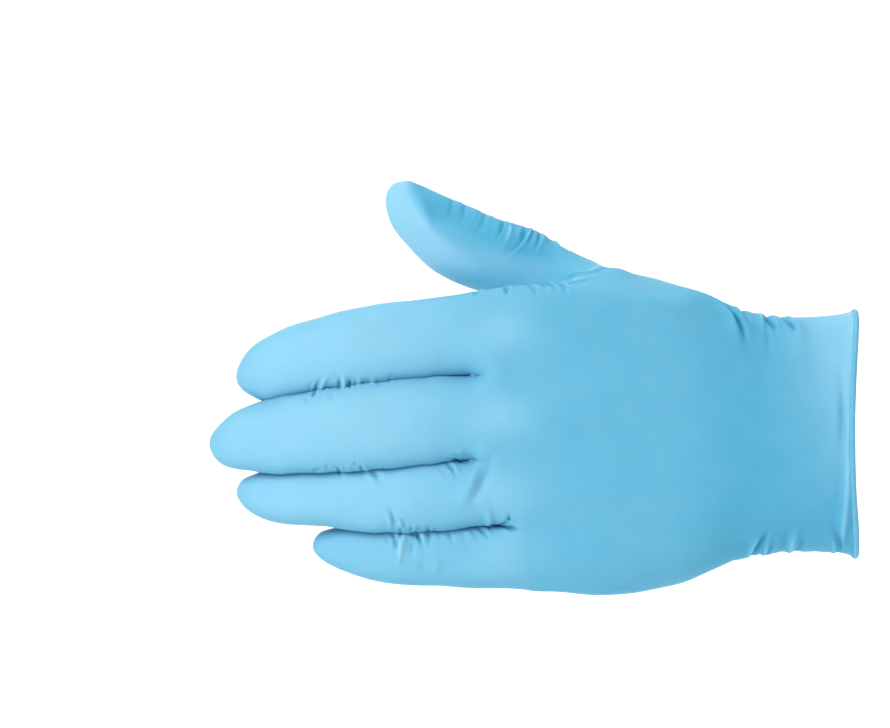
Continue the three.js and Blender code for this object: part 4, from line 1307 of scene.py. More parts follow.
@dataclass(frozen=True)
class NitrileFinish:
    """Dip-moulded nitrile film, chlorinated inside and out.

    The real film is a thin coloured rubber with a dry, satin skin: broad soft highlights, and colour
    that pales where the film is drawn tight over a fingertip or a knuckle. Light and shade are painted
    into the colour as well: a painted highlight on the crest of a narrow fold, painted shade in a
    narrow groove and along the seams between the fingers, and painted light and shade in how pale the
    film is elsewhere.
    """

    name: str = "nitrile_film"
    # The film's colour where it lies loose and where it is drawn tight; the share between them also
    # holds painted light and shade.
    slack_and_shaded: int = 0x52A5C6
    stretched_and_lit: int = 0x8AC3DC
    # Painted shade for narrow grooves and the seams between the fingers.
    painted_crease_shade: int = 0x148CB0
    # A painted highlight for the crests of narrow folds.
    painted_ridge_highlight: int = 0xA8DCF0
    deepens: tuple[float, float, float] = (-0.15, -1.1, 0.7)  # mm from, mm to, share of the painted shade in grooves and seams
    pales: tuple[float, float, float] = (0.25, 1.1, 0.4)  # mm from, mm to, share of the painted highlight on crests
    ior: float = 1.45
    roughness: float = 0.5
    rougher: tuple[float, float] = (-0.04, 0.05)  # how far the roughness strays from that
    specular: float = 0.09  # low: the chlorinated skin is dry and scatters what it reflects
    bleed: float = 0.24  # the share of the light that goes through the film and comes out again
    bleed_reach: tuple[float, float, float] = (0.4, 1.4, 1.9)  # mm for red, green and blue
    cloud: float = 9.0  # mm, the size of the faint clouds in the colour
    clouded: float = 0.22  # how far the clouds change the share of the paler colour that the film shows
    cloud_ends: tuple[float, float] = (0.35, 0.65)  # between which the clouds' noise lies
    grain: float = 0.55  # mm, the size of the dry skin's unevenness, coarse enough to show
    grain_height: float = 0.012  # mm
    ripple: float = 3.2  # mm, the size of the film's fine ripples
    ripple_height: float = 0.05  # mm

    def material(self) -> bpy.types.Material:
        """Makes the material.

        Returns:
            The new material. It reads how pale the film is, from how tight it is and from painted light
            and shade, and the fold attribute, from which it paints shade into narrow grooves and seams
            and a highlight onto narrow crests.
        """
        material = bpy.data.materials.new(self.name)
        material.use_nodes = True
        tree = material.node_tree
        tree.nodes.clear()
        place = add_node(tree, "ShaderNodeTexCoord").outputs["Object"]
        stretch = add_node(tree, "ShaderNodeAttribute", {"attribute_name": "stretch"}).outputs["Fac"]
        fold = add_node(tree, "ShaderNodeAttribute", {"attribute_name": "fold"}).outputs["Fac"]
        cloud = add_node(
            tree,
            "ShaderNodeTexNoise",
            values={"Scale": 1000 / self.cloud, "Detail": 3.0, "Roughness": 0.55},
            links={"Vector": place},
        ).outputs["Fac"]
        clouded = add_node(
            tree,
            "ShaderNodeMath",
            {"operation": "MULTIPLY_ADD"},
            {1: self.clouded, 2: -self.clouded / 2},
            {0: cloud},
        ).outputs[0]
        share = add_node(
            tree,
            "ShaderNodeMath",
            {"operation": "ADD", "use_clamp": True},
            links={0: stretch, 1: clouded},
        ).outputs[0]
        film = add_node(
            tree,
            "ShaderNodeMix",
            {"data_type": "RGBA"},
            {6: linear(self.slack_and_shaded), 7: linear(self.stretched_and_lit)},
            {0: share},
        ).outputs[2]
        colour = film
        # Painted shade in narrow grooves and along the seams, then a painted highlight on narrow
        # crests.
        for tone, (begins, ends, most) in ((self.painted_crease_shade, self.deepens), (self.painted_ridge_highlight, self.pales)):
            how_far = add_node(
                tree,
                "ShaderNodeMapRange",
                {"interpolation_type": "SMOOTHSTEP"},
                {"From Min": begins, "From Max": ends, "To Min": 0.0, "To Max": most},
                {"Value": fold},
            ).outputs[0]
            colour = add_node(
                tree,
                "ShaderNodeMix",
                {"data_type": "RGBA"},
                {7: linear(tone)},
                {0: how_far, 6: colour},
            ).outputs[2]
        relief: dict[str, bpy.types.NodeSocket] = {}
        for size, softness, height in (
            (self.ripple, 0.45, self.ripple_height),
            (self.grain, 0.5, self.grain_height),
        ):
            uneven = add_node(
                tree,
                "ShaderNodeTexNoise",
                values={"Scale": 1000 / size, "Detail": 2.0, "Roughness": softness},
                links={"Vector": place},
            ).outputs["Fac"]
            relief["Normal"] = add_node(
                tree,
                "ShaderNodeBump",
                values={"Strength": 1.0, "Distance": height * MM},
                links={"Height": uneven, **relief},
            ).outputs[0]
        rough = add_node(
            tree,
            "ShaderNodeMapRange",
            values={
                "From Min": self.cloud_ends[0],
                "From Max": self.cloud_ends[1],
                "To Min": self.roughness + self.rougher[0],
                "To Max": self.roughness + self.rougher[1],
            },
            links={"Value": cloud},
        ).outputs[0]
        shader = add_node(
            tree,
            "ShaderNodeBsdfPrincipled",
            {"subsurface_method": "RANDOM_WALK"},
            {
                "IOR": self.ior,
                "Specular IOR Level": self.specular,
                "Subsurface Weight": self.bleed,
                "Subsurface Radius": self.bleed_reach,
                "Subsurface Scale": MM,
            },
            {"Base Color": colour, "Roughness": rough, **relief},
        )
        add_node(tree, "ShaderNodeOutputMaterial", links={"Surface": shader.outputs[0]})
        return material


@dataclass
class PatchedSkin:
    """A skin of faces of several sizes, small ones where the film bends sharply.

    Faces beside each other differ by one step at most, so a larger one only takes a corner more
    on the sides where its neighbour is split.
    """

    levels: list[Quads]
    first: int
    places: Array
    most_triangles: int = 150000
    tolerance: float = 0.008  # mm
    coarser: float = 1.06  # what the tolerance is multiplied by until the skin fits
    errors: list[Array] = field(init=False)
    split: list[Array] = field(init=False)

    def __post_init__(self) -> None:
        """Splits the faces, and fewer of them until their number fits."""
        self.errors = [self.error(level) for level in range(self.first, len(self.levels) - 1)]
        self.choose()
        while self.triangles() > self.most_triangles:
            self.tolerance *= self.coarser
            self.choose()
        log.info("skin of %d triangles, true to %.3f mm", self.triangles(), self.tolerance)

    def error(self, level: int) -> Array:
        """How far each face of a level lies from the finer places inside it.

        Args:
            level: The level.

        Returns:
            Distances in millimetres.
        """
        quads = self.levels[level]
        corners = self.places[quads.faces]
        ends = (corners + np.roll(corners, -1, axis=1)) / 2
        sides = self.places[quads.count + len(quads.faces) + quads.face_edges]
        centres = self.places[quads.count : quads.count + len(quads.faces)]
        worst = np.linalg.norm(sides - ends, axis=2).max(axis=1)
        return np.maximum(worst, np.linalg.norm(centres - corners.mean(axis=1), axis=1))

    def choose(self) -> None:
        """Picks the faces that are split, from the finest level up."""
        self.split = [error > self.tolerance for error in self.errors]
        for k in range(len(self.split) - 1, 0, -1):
            quads = self.levels[self.first + k]
            busy = np.zeros(len(quads.edges), dtype=bool)
            busy[quads.face_edges[self.split[k]].ravel()] = True
            needed = busy[quads.face_edges].any(axis=1)
            self.split[k - 1] |= needed.reshape(-1, 4).any(axis=1)
        for k in range(1, len(self.split)):
            self.split[k] &= np.repeat(self.split[k - 1], 4)

    def leaves(self) -> Iterator[tuple[int, Array, Array]]:
        """The faces that are kept at each level.

        Yields:
            The level, True for each face that is kept, and for each side whether it is split.
        """
        exists = np.ones(len(self.levels[self.first].faces), dtype=bool)
        for k in range(len(self.split) + 1):
            quads = self.levels[self.first + k]
            split = self.split[k] if k < len(self.split) else np.zeros(len(quads.faces), dtype=bool)
            busy = np.zeros(len(quads.edges), dtype=bool)
            busy[quads.face_edges[split].ravel()] = True
            yield self.first + k, exists & ~split, busy[quads.face_edges]
            exists = np.repeat(split, 4)

    def triangles(self) -> int:
        """The number of triangles in the skin."""
        return sum(int(2 * keep.sum() + busy[keep].sum()) for _, keep, busy in self.leaves())

    def faces(self) -> list[list[int]]:
        """Lists the skin's faces.

        Returns:
            Four to eight corners for each face.
        """
        faces = []
        for level, keep, busy in self.leaves():
            quads = self.levels[level]
            start = quads.count + len(quads.faces)
            rows = zip(quads.faces[keep].tolist(), quads.face_edges[keep].tolist(), busy[keep].tolist())
            for corners, sides, is_busy in rows:
                face = []
                for corner, side, extra in zip(corners, sides, is_busy):
                    face.append(corner)
                    if extra:
                        face.append(start + side)
                faces.append(face)
        return faces

    def along(self, k: int, face: int, side: int) -> list[int]:
        """The corners along one side of a face, the last one left out.

        Args:
            k: How many steps the face lies below the first level.
            face: The face.
            side: Its side.

        Returns:
            Corner numbers.
        """
        if k == len(self.split) or not self.split[k][face]:
            return [int(self.levels[self.first + k].faces[face, side])]
        following = 4 * face + (side + 1) % 4
        return self.along(k + 1, 4 * face + side, 0) + self.along(k + 1, following, 3)

    def rim(self) -> list[list[int]]:
        """Follows the open rim.

        Returns:
            The corners along each side of a face there, in order, the last one left out.
        """
        quads = self.levels[self.first]
        places = {}
        for number, face in enumerate(quads.faces.tolist()):
            for side in range(4):
                places[(face[side], face[(side + 1) % 4])] = (number, side)
        ring = quads.mouth(self.places)
        return [self.along(0, *places[pair]) for pair in zip(ring, ring[1:] + ring[:1])]


@dataclass(frozen=True)
class TensionAndPaintedLight:
    """How pale the film is: how far a hand stretches it, with painted light and shade.

    The film is tight over the backs of the fingers, the thumb's pad and the knuckles, which makes
    it paler there; the paleness of the fingers and the pad stands for the light that falls on them
    as well. Painted light and shade are added: paler where the fingers and the thumb face the front
    or the back, darker round a finger's sides and lower side, paler towards the top of the cuff, and
    painted shade on the thumb's upper side beyond its pad. The little finger is kept darker, and the
    back of the hand paler than the wrist. Heights and places along the glove are in millimetres, but
    for the fingers' and the knuckles' places along it, which are shares of the body's length. A rise
    is written as where it begins and how long it is.
    """

    fingers: float = 0.7
    fingers_begin: float = 1.06
    fingers_ease: float = 0.07
    fingers_top: float = 48.0
    fingers_edge: float = 1.0
    finger_side: float = 0.48  # what is left on a finger's side: painted shade where it faces neither the front nor the back
    finger_below: float = 0.42  # what a finger's lower side loses: painted shade
    little: float = 0.66  # what is left on the little finger
    little_rise: tuple[float, float] = (-35.0, 6.0)
    knuckles: float = 0.42
    knuckle_place: float = 0.93
    knuckle_length: float = 0.09
    knuckle_breadth: float = 9.0
    # Painted light: the cuff is paler towards its top.
    cuff: float = 0.85
    cuff_length: float = 21.0
    cuff_rise: tuple[float, float] = (-30.0, 52.0)
    hand: float = 0.2
    hand_rise: tuple[float, float] = (38.0, 22.0)
    body: float = 0.24  # of the thumb: painted light, paler where it faces the front or the back
    body_rise: tuple[float, float] = (50.0, 6.0)
    outline: tuple[float, float, float] = (78.6, -0.41, -131.2)  # the thumb's: height, slope, x
    # The thumb's upper side beyond its pad, where painted shade takes away the paleness of the hand and
    # of the thumb's body.
    shaded_side_rise: tuple[float, float] = (52.0, 8.0)
    shaded_side_depth: tuple[float, float] = (-15.0, 6.0)  # below the outline
    pad: float = 1.1  # of the fingers' share
    pad_rise: tuple[float, float] = (50.0, 6.0)
    pad_root: tuple[float, float] = (116.0, 24.0)
    pad_softness: float = 1.0
    pad_edge: tuple[tuple[float, float], ...] = (
        (46.0, -104.0),
        (55.0, -117.0),
        (61.8, -130.5),
        (66.6, -137.2),
        (70.8, -140.5),
        (79.6, -145.4),
        (86.0, -146.5),
    )  # height and x of the edge between the thumb's pale pad and its upper side, which gets painted shade

    def at(self, places: Array, directions: Array, cage: GloveCage) -> Array:
        """Works out how pale the film is at some places, from its tightness and from painted light and
        shade.

        Args:
            places: The corners of both skins in millimetres.
            directions: The outward directions there.
            cage: The cage, for its length and the fingers' roots.

        Returns:
            From 0 to 1 for each corner.
        """
        x, _, z = places.T
        facing, upward = directions[:, 1], directions[:, 2]
        reach = -x / cage.body_length
        fingers = soft_step((reach - self.fingers_begin) / self.fingers_ease)
        fingers *= soft_step((self.fingers_top - z) / self.fingers_edge)
        fingers *= mix(self.little, 1.0, ramp(z, *self.little_rise))
        # Painted light and shade: paler where a finger faces the front or the back, darker on its lower
        # side.
        fingers *= mix(self.finger_side, 1.0, facing**2)
        fingers *= 1 - self.finger_below * np.clip(-upward, 0, 1)
        pad = self.thumb_pad(x, z)
        knuckles = np.zeros(len(places))
        for root in cage.roots:
            along = (reach - self.knuckle_place) / self.knuckle_length
            across = (z - root) / self.knuckle_breadth
            knuckles += np.exp(-(along**2) - across**2)
        knuckles *= np.clip(-facing, 0, 1)
        # Painted light: paler towards the top of the cuff.
        cuff = np.exp(-((x / self.cuff_length) ** 2)) * ramp(z, *self.cuff_rise)
        top, slope, start = self.outline
        below = top + slope * (x - start) - z
        # Painted shade on the thumb's upper side beyond its pad.
        shaded_upper_side = ramp(z, *self.shaded_side_rise) * ramp(-below, *self.shaded_side_depth) * (1 - pad)
        hand = self.hand * ramp(-x, *self.hand_rise) * (1 - shaded_upper_side)
        # Painted light on the thumb, where it faces the front or the back.
        body = self.body * facing**2 * ramp(z, *self.body_rise) * (1 - shaded_upper_side)
        tight = hand + self.fingers * np.maximum(fingers, self.pad * pad) + body
        return np.clip(tight + self.knuckles * knuckles + self.cuff * cuff, 0, 1)

    def thumb_pad(self, x: Array, z: Array) -> Array:
        """How much a place belongs to the thumb's pad, which is paler: the film is tight there, and
        painted light falls on it.

        Args:
            x: Places along the glove in millimetres.
            z: Their heights.

        Returns:
            From 0 to 1.
        """
        edge = np.interp(z, *zip(*self.pad_edge))
        inside = soft_step((edge - x) / self.pad_softness)
        return inside * ramp(-x, *self.pad_root) * ramp(z, *self.pad_rise)


@dataclass
class GloveFilm:
    """The film of the glove: an outer skin with all its folds and an inner one, as one shell."""

    cage: GloveCage = field(default_factory=GloveCage)
    finish: NitrileFinish = field(default_factory=NitrileFinish)
    # How pale the film is: from how tight it is, and from painted light and shade.
    tension_and_light: TensionAndPaintedLight = field(default_factory=TensionAndPaintedLight)
    wall: float = 0.9  # mm at the mouth
    deep_wall: float = 1.9  # mm further in, so that no fold reaches the inner skin
    thickens: tuple[float, float] = (6.0, 30.0)  # mm from the mouth
    follows: float = 0.5  # mm of a fold's lift that the inner skin takes part in
    overlaps: tuple[float, float] = (0.85, 0.8)  # mm past a seam: of a side, of folds on it
    overlap_grows: float = 14.0  # mm from a web over which an overlap grows
    least_overlap: float = 0.2  # what there is of it at the web
    pressed: tuple[float, float] = (5.0, 1.8)  # mm round a finger: its side, and a fold there
    web_rise: tuple[float, float] = (0.3, 4.0)  # mm from a web: begins, and grows over
    tip_rise: tuple[float, float] = (4.0, 15.0)  # mm from a fingertip, likewise
    moves: tuple[float, float] = (-1.2, 1.6)  # mm, how far a side goes at most
    fingers_span: tuple[float, float] = (-215.0, -100.0)  # mm, where the fingers lie
    slot_length: float = 0.6  # mm, along which a gap is measured
    seam_shade: float = 0.7  # mm, how far the painted shade reaches out of a seam
    seam_shade_depth: float = 0.65  # mm of groove that the painted shade along a seam counts as in the fold attribute
    seam_waves: tuple[tuple[float, float], ...] = ((0.14, 12.5), (0.06, 7.1))  # mm: size, length
    seam_shift: float = 2.3  # radians from one seam's waves to the next one's
    seam_span: tuple[float, float, float] = (-6.0, 95.0, 0.5)  # mm from the webs, and the step
    bead_offset: float = 0.45  # mm from the film's edge to the bead's middle line
    steps: int = 5
    inner_step: int = 2  # the step whose faces the inner skin has
    path_step: int = 3  # the step on whose faces the folds are laid
    rim_path: Array = field(init=False)

    def build(self, folds: FoldField, material: bpy.types.Material) -> bpy.types.Object:
        """Makes the film.

        Args:
            folds: What lifts the film from its smooth form.
            material: The film's finish.

        Returns:
            The film as an object of one closed mesh.
        """
        levels = [self.cage.build()]
        for _ in range(self.steps):
            levels.append(levels[-1][0].split(levels[-1][1]))
        coarse, medium = levels[self.inner_step][0], levels[self.path_step][0]
        fine, places = levels[-1]
        smooth = fine.onto_surface(places)
        smooth = smooth + fine.normals(smooth) * folds.unevenness(smooth)[:, None]
        smooth, _ = self.press_together(fine, smooth, 0)
        outwards = fine.normals(smooth)
        folds.lay(medium, smooth[: medium.count])
        lift, relief = folds.lift(smooth, outwards)
        skin, seams = self.press_together(fine, smooth + outwards * lift[:, None], 1)
        patches = PatchedSkin([quads for quads, _ in levels], self.inner_step, skin)
        inner = self.inner_points(smooth, outwards, lift, coarse.count)
        faces = patches.faces()
        faces += (coarse.faces[:, ::-1] + fine.count).tolist()
        faces += self.mouth_faces(patches.rim(), fine.count)
        corners = np.concatenate([skin, inner])
        # The fold attribute: the lift of the narrow folds, less painted shade along the seams between
        # the fingers.
        relief = np.concatenate([relief - self.seam_shade_depth * seams, np.zeros(len(inner))])
        directions = np.concatenate([outwards, outwards[: coarse.count]])
        self.rim_path = self.bead_path(skin, outwards, medium.mouth(skin))
        values = {"stretch": self.tension_and_light.at(corners, directions, self.cage), "fold": relief}
        return self.piece(faces, corners, values, material)

    def seam_heights(self, line: int, x: Array) -> Array:
        """How high the seam between two fingers lies.

        Args:
            line: The seam's number, from the index finger's.
            x: Places along the glove in millimetres.

        Returns:
            Heights in millimetres.
        """
        beyond = np.arange(*self.seam_span)
        heights = np.array([self.cage.line_height(line, value) for value in beyond])
        for size, length in self.seam_waves:
            phase = self.seam_shift * line + length
            heights += size * np.sin(2 * math.pi * beyond / length + phase)
        return np.interp(-x - self.cage.body_length, beyond, heights)

    def press_together(self, fine: Quads, skin: Array, step: int) -> tuple[Array, Array]:
        """Closes the gaps between fingers that lie against each other.

        Args:
            fine: The faces of the skin.
            skin: Its corners in millimetres.
            step: 0 for the fingers' sides, and 1 for the folds on them.

        Returns:
            The corners with the fingers' sides moved to their seams, and how close each one lies
            to a seam, from 0 to 1, which sets the painted shade along the seams.
        """
        pressed = skin.copy()
        close = np.zeros(len(skin))
        scale = 4**self.steps
        tips = [
            -max(self.cage.web_reach[i : i + 2]) * self.cage.body_length - finger.length
            for i, finger in enumerate(self.cage.fingers)
        ]
        stations = np.arange(*self.fingers_span, self.slot_length)
        middles = (stations[1:] + stations[:-1]) / 2
        for i, (first, last) in enumerate(self.cage.finger_faces):
            own = np.unique(fine.faces[first * scale : last * scale])
            x = skin[own, 0]
            slot = np.digitize(x, stations) - 1
            for line, sign in ((i, -1.0), (i + 1, 1.0)):
                if line in (0, len(self.cage.fingers)):
                    continue
                apart = sign * (skin[own, 2] - self.seam_heights(line, x))
                nearest = np.full(len(middles), np.inf)
                np.minimum.at(nearest, slot, apart)
                known = np.isfinite(nearest)
                gap = np.interp(x, middles[known], nearest[known])
                web = self.cage.web_reach[line] * self.cage.body_length
                start = ramp(-x - web, *self.web_rise)
                end = ramp(x - max(tips[line - 1 : line + 1]), *self.tip_rise)
                share = eased(start) * eased(end)
                side = np.exp(-((np.maximum(apart - gap, 0) / self.pressed[step]) ** 2))
                grown = np.clip((-x - web) / self.overlap_grows, self.least_overlap, 1)
                move = np.clip(gap + self.overlaps[step] * grown, *self.moves)
                pressed[own, 2] -= sign * move * share * side
                # Painted shade along the seam, which fades away from it.
                near = share * np.exp(-((np.maximum(apart - gap, 0) / self.seam_shade) ** 2))
                close[own] = np.maximum(close[own], near)
        return pressed, close

    def inner_points(self, smooth: Array, outwards: Array, lift: Array, count: int) -> Array:
        """The corners of the inner skin.

        Args:
            smooth: The smooth outer skin.
            outwards: Its outward directions.
            lift: How far the folds lift it.
            count: How many of its corners the inner skin has.

        Returns:
            The places of the inner corners.
        """
        near, far = self.thickens
        share = eased(ramp(-smooth[:count, 0], near, far - near))
        wall = mix(self.wall, self.deep_wall, share)
        depth = np.clip(lift[:count], -self.follows, self.follows) - wall
        return smooth[:count] + outwards[:count] * depth[:, None]

    def mouth_faces(self, rim: list[list[int]], shift: int) -> list[list[int]]:
        """The faces that join the two skins at the mouth.

        Args:
            rim: The outer corners along each side of the inner rim, in order.
            shift: What is added to a corner's number for its twin on the inner skin.

        Returns:
            The faces.
        """
        faces = []
        for part, following in zip(rim, rim[1:] + rim[:1]):
            outer = part + [following[0]]
            faces.append(outer[::-1] + [part[0] + shift, following[0] + shift])
        return faces

    def bead_path(self, skin: Array, outwards: Array, ring: list[int]) -> Array:
        """The middle line of the bead.

        Args:
            skin: The outer skin.
            outwards: Its outward directions.
            ring: Its rim's corners in order.

        Returns:
            Places in order round the mouth.
        """
        rim = skin[ring]
        normal = outwards[ring]
        along = np.roll(rim, -1, axis=0) - np.roll(rim, 1, axis=0)
        away = np.cross(normal, along)
        away /= np.linalg.norm(away, axis=1, keepdims=True)
        away *= np.sign(away[:, :1])
        return rim - normal * self.wall / 2 + away * self.bead_offset

    def piece(
        self,
        faces: list[list[int]],
        corners: Array,
        values: dict[str, Array],
        material: bpy.types.Material,
    ) -> bpy.types.Object:
        """Turns faces into the film's object.

        Args:
            faces: Faces by corner number.
            corners: All corners in millimetres, unused ones among them.
            values: Attributes, one value for each corner.
            material: The finish.

        Returns:
            The object, in metres.
        """
        used = sorted({corner for face in faces for corner in face})
        number = {old: new for new, old in enumerate(used)}
        mesh = bpy.data.meshes.new("glove_film")
        mesh.from_pydata(
            (corners[used] * MM).tolist(), [], [[number[corner] for corner in face] for face in faces]
        )
        for name, array in values.items():
            attribute = mesh.attributes.new(name, "FLOAT", "POINT")
            attribute.data.foreach_set("value", array[used].astype(np.float32))
        mesh.polygons.foreach_set("use_smooth", [True] * len(mesh.polygons))
        mesh.materials.append(material)
        mesh.update()
        film = bpy.data.objects.new("glove_film", mesh)
        bpy.context.scene.collection.objects.link(film)
        return film


@dataclass
class RolledBead:
    """The bead at the mouth, where the film was rolled up on itself before it cured."""

    diameter: float = 1.9  # mm
    sides: int = 16
    stations: int = 420
    uneven: float = 0.16  # how far the diameter swells and shrinks, as a share
    swells: float = 75.0  # to a metre
    stretch: float = 0.35  # how pale the rolled film is
    seed: float = 3.0

    def tree(self, material: bpy.types.Material) -> bpy.types.NodeTree:
        """Builds the tree that sweeps the bead along a closed path.

        Args:
            material: The finish.

        Returns:
            The node tree, with the bead's sizes as named inputs.
        """
        tree = bpy.data.node_groups.new("rolled_bead", "GeometryNodeTree")
        face = tree.interface
        face.new_socket("Geometry", in_out="INPUT", socket_type="NodeSocketGeometry")
        for name, kind in (
            ("Radius", "NodeSocketFloat"),
            ("Unevenness", "NodeSocketFloat"),
            ("Sides", "NodeSocketInt"),
            ("Stations", "NodeSocketInt"),
            ("Seed", "NodeSocketFloat"),
        ):
            face.new_socket(name, in_out="INPUT", socket_type=kind)
        face.new_socket("Geometry", in_out="OUTPUT", socket_type="NodeSocketGeometry")
        given = add_node(tree, "NodeGroupInput").outputs
        path = add_node(tree, "GeometryNodeMeshToCurve", links={"Mesh": given["Geometry"]})
        even = add_node(
            tree,
            "GeometryNodeResampleCurve",
            links={"Curve": path.outputs[0], "Count": given["Stations"]},
        )
        swell = add_node(
            tree,
            "ShaderNodeTexNoise",
            {"noise_dimensions": "4D"},
            {"Scale": self.swells, "Detail": 2.0, "Roughness": 0.5},
            {"W": given["Seed"]},
        )
        centred = add_node(
            tree, "ShaderNodeMath", {"operation": "SUBTRACT"}, {1: 0.5}, {0: swell.outputs["Fac"]}
        )
        scaled = add_node(
            tree,
            "ShaderNodeMath",
            {"operation": "MULTIPLY_ADD"},
            {2: 1.0},
            {0: centred.outputs[0], 1: given["Unevenness"]},
        )
        sized = add_node(
            tree,
            "GeometryNodeSetCurveRadius",
            links={"Curve": even.outputs[0], "Radius": scaled.outputs[0]},
        )
        circle = add_node(
            tree,
            "GeometryNodeCurvePrimitiveCircle",
            links={"Resolution": given["Sides"], "Radius": given["Radius"]},
        )
        swept = add_node(
            tree,
            "GeometryNodeCurveToMesh",
            links={"Curve": sized.outputs[0], "Profile Curve": circle.outputs[0]},
        )
        soft = add_node(tree, "GeometryNodeSetShadeSmooth", links={0: swept.outputs[0]})
        real = add_node(tree, "GeometryNodeRealizeInstances", links={0: soft.outputs[0]})
        dressed = add_node(
            tree, "GeometryNodeSetMaterial", values={"Material": material}, links={0: real.outputs[0]}
        )
        add_node(tree, "NodeGroupOutput", links={0: dressed.outputs[0]})
        return tree

    def build(self, path: Array, material: bpy.types.Material) -> bpy.types.Object:
        """Sweeps the bead round the mouth.

        Args:
            path: The bead's middle line in millimetres, in order.
            material: The finish.

        Returns:
            The bead as an object of one closed mesh.
        """
        line = bpy.data.meshes.new("bead_line")
        number = len(path)
        line.from_pydata((path * MM).tolist(), [(i, (i + 1) % number) for i in range(number)], [])
        carrier = bpy.data.objects.new("bead_line", line)
        bpy.context.scene.collection.objects.link(carrier)
        modifier = carrier.modifiers.new("sweep", "NODES")
        tree = self.tree(material)
        modifier.node_group = tree
        sizes = {
            "Radius": self.diameter * MM / 2,
            "Unevenness": self.uneven,
            "Sides": self.sides,
            "Stations": self.stations,
            "Seed": self.seed,
        }
        for item in tree.interface.items_tree:
            if item.item_type == "SOCKET" and item.in_out == "INPUT" and item.name in sizes:
                modifier[item.identifier] = sizes[item.name]
        evaluated = carrier.evaluated_get(bpy.context.evaluated_depsgraph_get())
        mesh = bpy.data.meshes.new_from_object(evaluated)
        mesh.name = "rolled_bead"
        bpy.data.objects.remove(carrier)
        bead = bpy.data.objects.new("rolled_bead", mesh)
        bpy.context.scene.collection.objects.link(bead)
        for name, value in (("stretch", self.stretch), ("fold", 0.0)):
            attribute = mesh.attributes.new(name, "FLOAT", "POINT")
            attribute.data.foreach_set("value", [value] * len(mesh.vertices))
        return bead


@dataclass(frozen=True)
class SoftLight:
    """A soft square light: its place and size in metres, its power in watts and its aim."""

    name: str
    place: tuple[float, float, float]
    size: float
    power: float
    aim: tuple[float, float, float] = (-0.12, 0.0, 0.01)


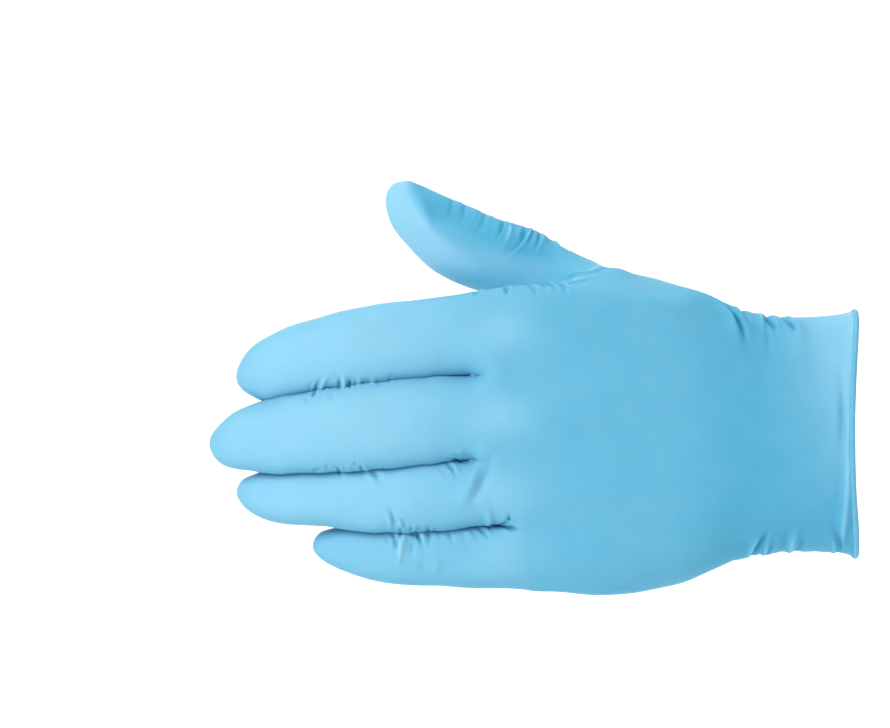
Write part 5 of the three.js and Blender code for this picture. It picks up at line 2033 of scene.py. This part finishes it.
@dataclass
class Studio:
    """The floor, the light and the camera. Lengths are in metres where no unit is named."""

    scale: float = 0.325  # mm to a pixel of the photograph
    mouth_column: float = 857.0
    middle_row: float = 434.0
    distance: float = 1.0  # from the camera to the glove
    sensor: float = 36.0  # mm
    floor: float = -0.24  # its height
    floor_front: float = -3.0
    floor_back: float = 1.0  # where it begins to curve up
    floor_half: float = 4.0
    curve_radius: float = 0.9
    curve_steps: int = 12
    backdrop_top: float = 3.0
    floor_colour: int = 0xFBFBFB
    floor_roughness: float = 0.9
    surround: float = 0.52
    lights: tuple[SoftLight, ...] = (
        SoftLight("key", (-0.9, -0.98, 0.62), 0.6, 13.2),
        SoftLight("fill", (0.6, -0.8, 0.9), 0.8, 2.0),
        SoftLight("paper", (0.0, 0.55, 1.5), 1.2, 26.0, (0.0, 1.9, 0.5)),
    )

    def build(self) -> None:
        """Makes the floor, the lights and the camera."""
        self.add_floor()
        for light in self.lights:
            self.add_light(light)
        self.add_surround()
        self.add_camera()
        bpy.context.scene.view_settings.view_transform = "Standard"

    def add_floor(self) -> None:
        """Makes the pale floor, which curves up into a backdrop."""
        back, radius = self.floor_back, self.curve_radius
        profile = [(self.floor_front, 0.0), (back, 0.0)]
        for k in range(1, self.curve_steps + 1):
            angle = math.pi / 2 * k / self.curve_steps
            profile.append((back + radius * math.sin(angle), radius * (1 - math.cos(angle))))
        profile.append((back + radius, self.backdrop_top))
        sides = (-self.floor_half, self.floor_half)
        corners = [(x, y, self.floor + z) for y, z in profile for x in sides]
        faces = [(2 * i, 2 * i + 1, 2 * i + 3, 2 * i + 2) for i in range(len(profile) - 1)]
        mesh = bpy.data.meshes.new("floor")
        mesh.from_pydata(corners, [], faces)
        mesh.polygons.foreach_set("use_smooth", [True] * len(faces))
        material = bpy.data.materials.new("studio_paper")
        material.use_nodes = True
        shader = material.node_tree.nodes["Principled BSDF"]
        shader.inputs["Base Color"].default_value = linear(self.floor_colour)
        shader.inputs["Roughness"].default_value = self.floor_roughness
        mesh.materials.append(material)
        floor = bpy.data.objects.new("floor", mesh)
        bpy.context.scene.collection.objects.link(floor)

    def add_light(self, row: SoftLight) -> None:
        """Adds one light.

        Args:
            row: What it is like.
        """
        light = bpy.data.lights.new(row.name, "AREA")
        light.shape = "SQUARE"
        light.size = row.size
        light.energy = row.power
        lamp = bpy.data.objects.new(row.name, light)
        lamp.location = row.place
        direction = Vector(row.aim) - Vector(row.place)
        lamp.rotation_euler = direction.to_track_quat("-Z", "Y").to_euler()
        bpy.context.scene.collection.objects.link(lamp)

    def add_surround(self) -> None:
        """Adds the even white light all round."""
        world = bpy.data.worlds.new("studio")
        world.use_nodes = True
        ground = world.node_tree.nodes["Background"]
        ground.inputs["Color"].default_value = linear(0xFFFFFF)
        ground.inputs["Strength"].default_value = self.surround
        bpy.context.scene.world = world

    def add_camera(self) -> None:
        """Adds the camera, square to the back of the hand as in the photograph."""
        lens = bpy.data.cameras.new("camera")
        width = PHOTO_WIDTH * self.scale * MM
        lens.sensor_fit = "HORIZONTAL"
        lens.sensor_width = self.sensor
        lens.lens = self.sensor * self.distance / width
        camera = bpy.data.objects.new("camera", lens)
        camera.location = (
            (PHOTO_WIDTH / 2 - self.mouth_column) * self.scale * MM,
            -self.distance,
            (self.middle_row - PHOTO_HEIGHT / 2) * self.scale * MM,
        )
        camera.rotation_euler = (math.pi / 2, 0.0, 0.0)
        bpy.context.scene.collection.objects.link(camera)
        bpy.context.scene.camera = camera


def main() -> None:
    """Builds the glove and the studio."""
    Studio().build()
    film = GloveFilm()
    material = film.finish.material()
    folds = FoldField(
        WRIST_FOLDS
        + CUFF_FOLDS
        + FINGER_FOLDS
        + ACROSS_FOLDS
        + WEB_FOLDS
        + INDEX_FOLDS
        + THUMB_FORMS
        + THUMB_FOLDS
        + PALM_FOLDS
    )
    skin = film.build(folds, material)
    log.info("%d folds laid, from %d rows and those beside", len(folds.paths), len(folds.folds))
    bead = RolledBead().build(film.rim_path, material)
    for piece in (skin, bead):
        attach(piece, "root")
        triangles = sum(len(polygon.vertices) - 2 for polygon in piece.data.polygons)
        log.info("%s: %d triangles", piece.name, triangles)
    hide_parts("glove")


if __name__ == "__main__":
    logging.basicConfig(level=logging.INFO, format="%(name)s: %(message)s")
    main()
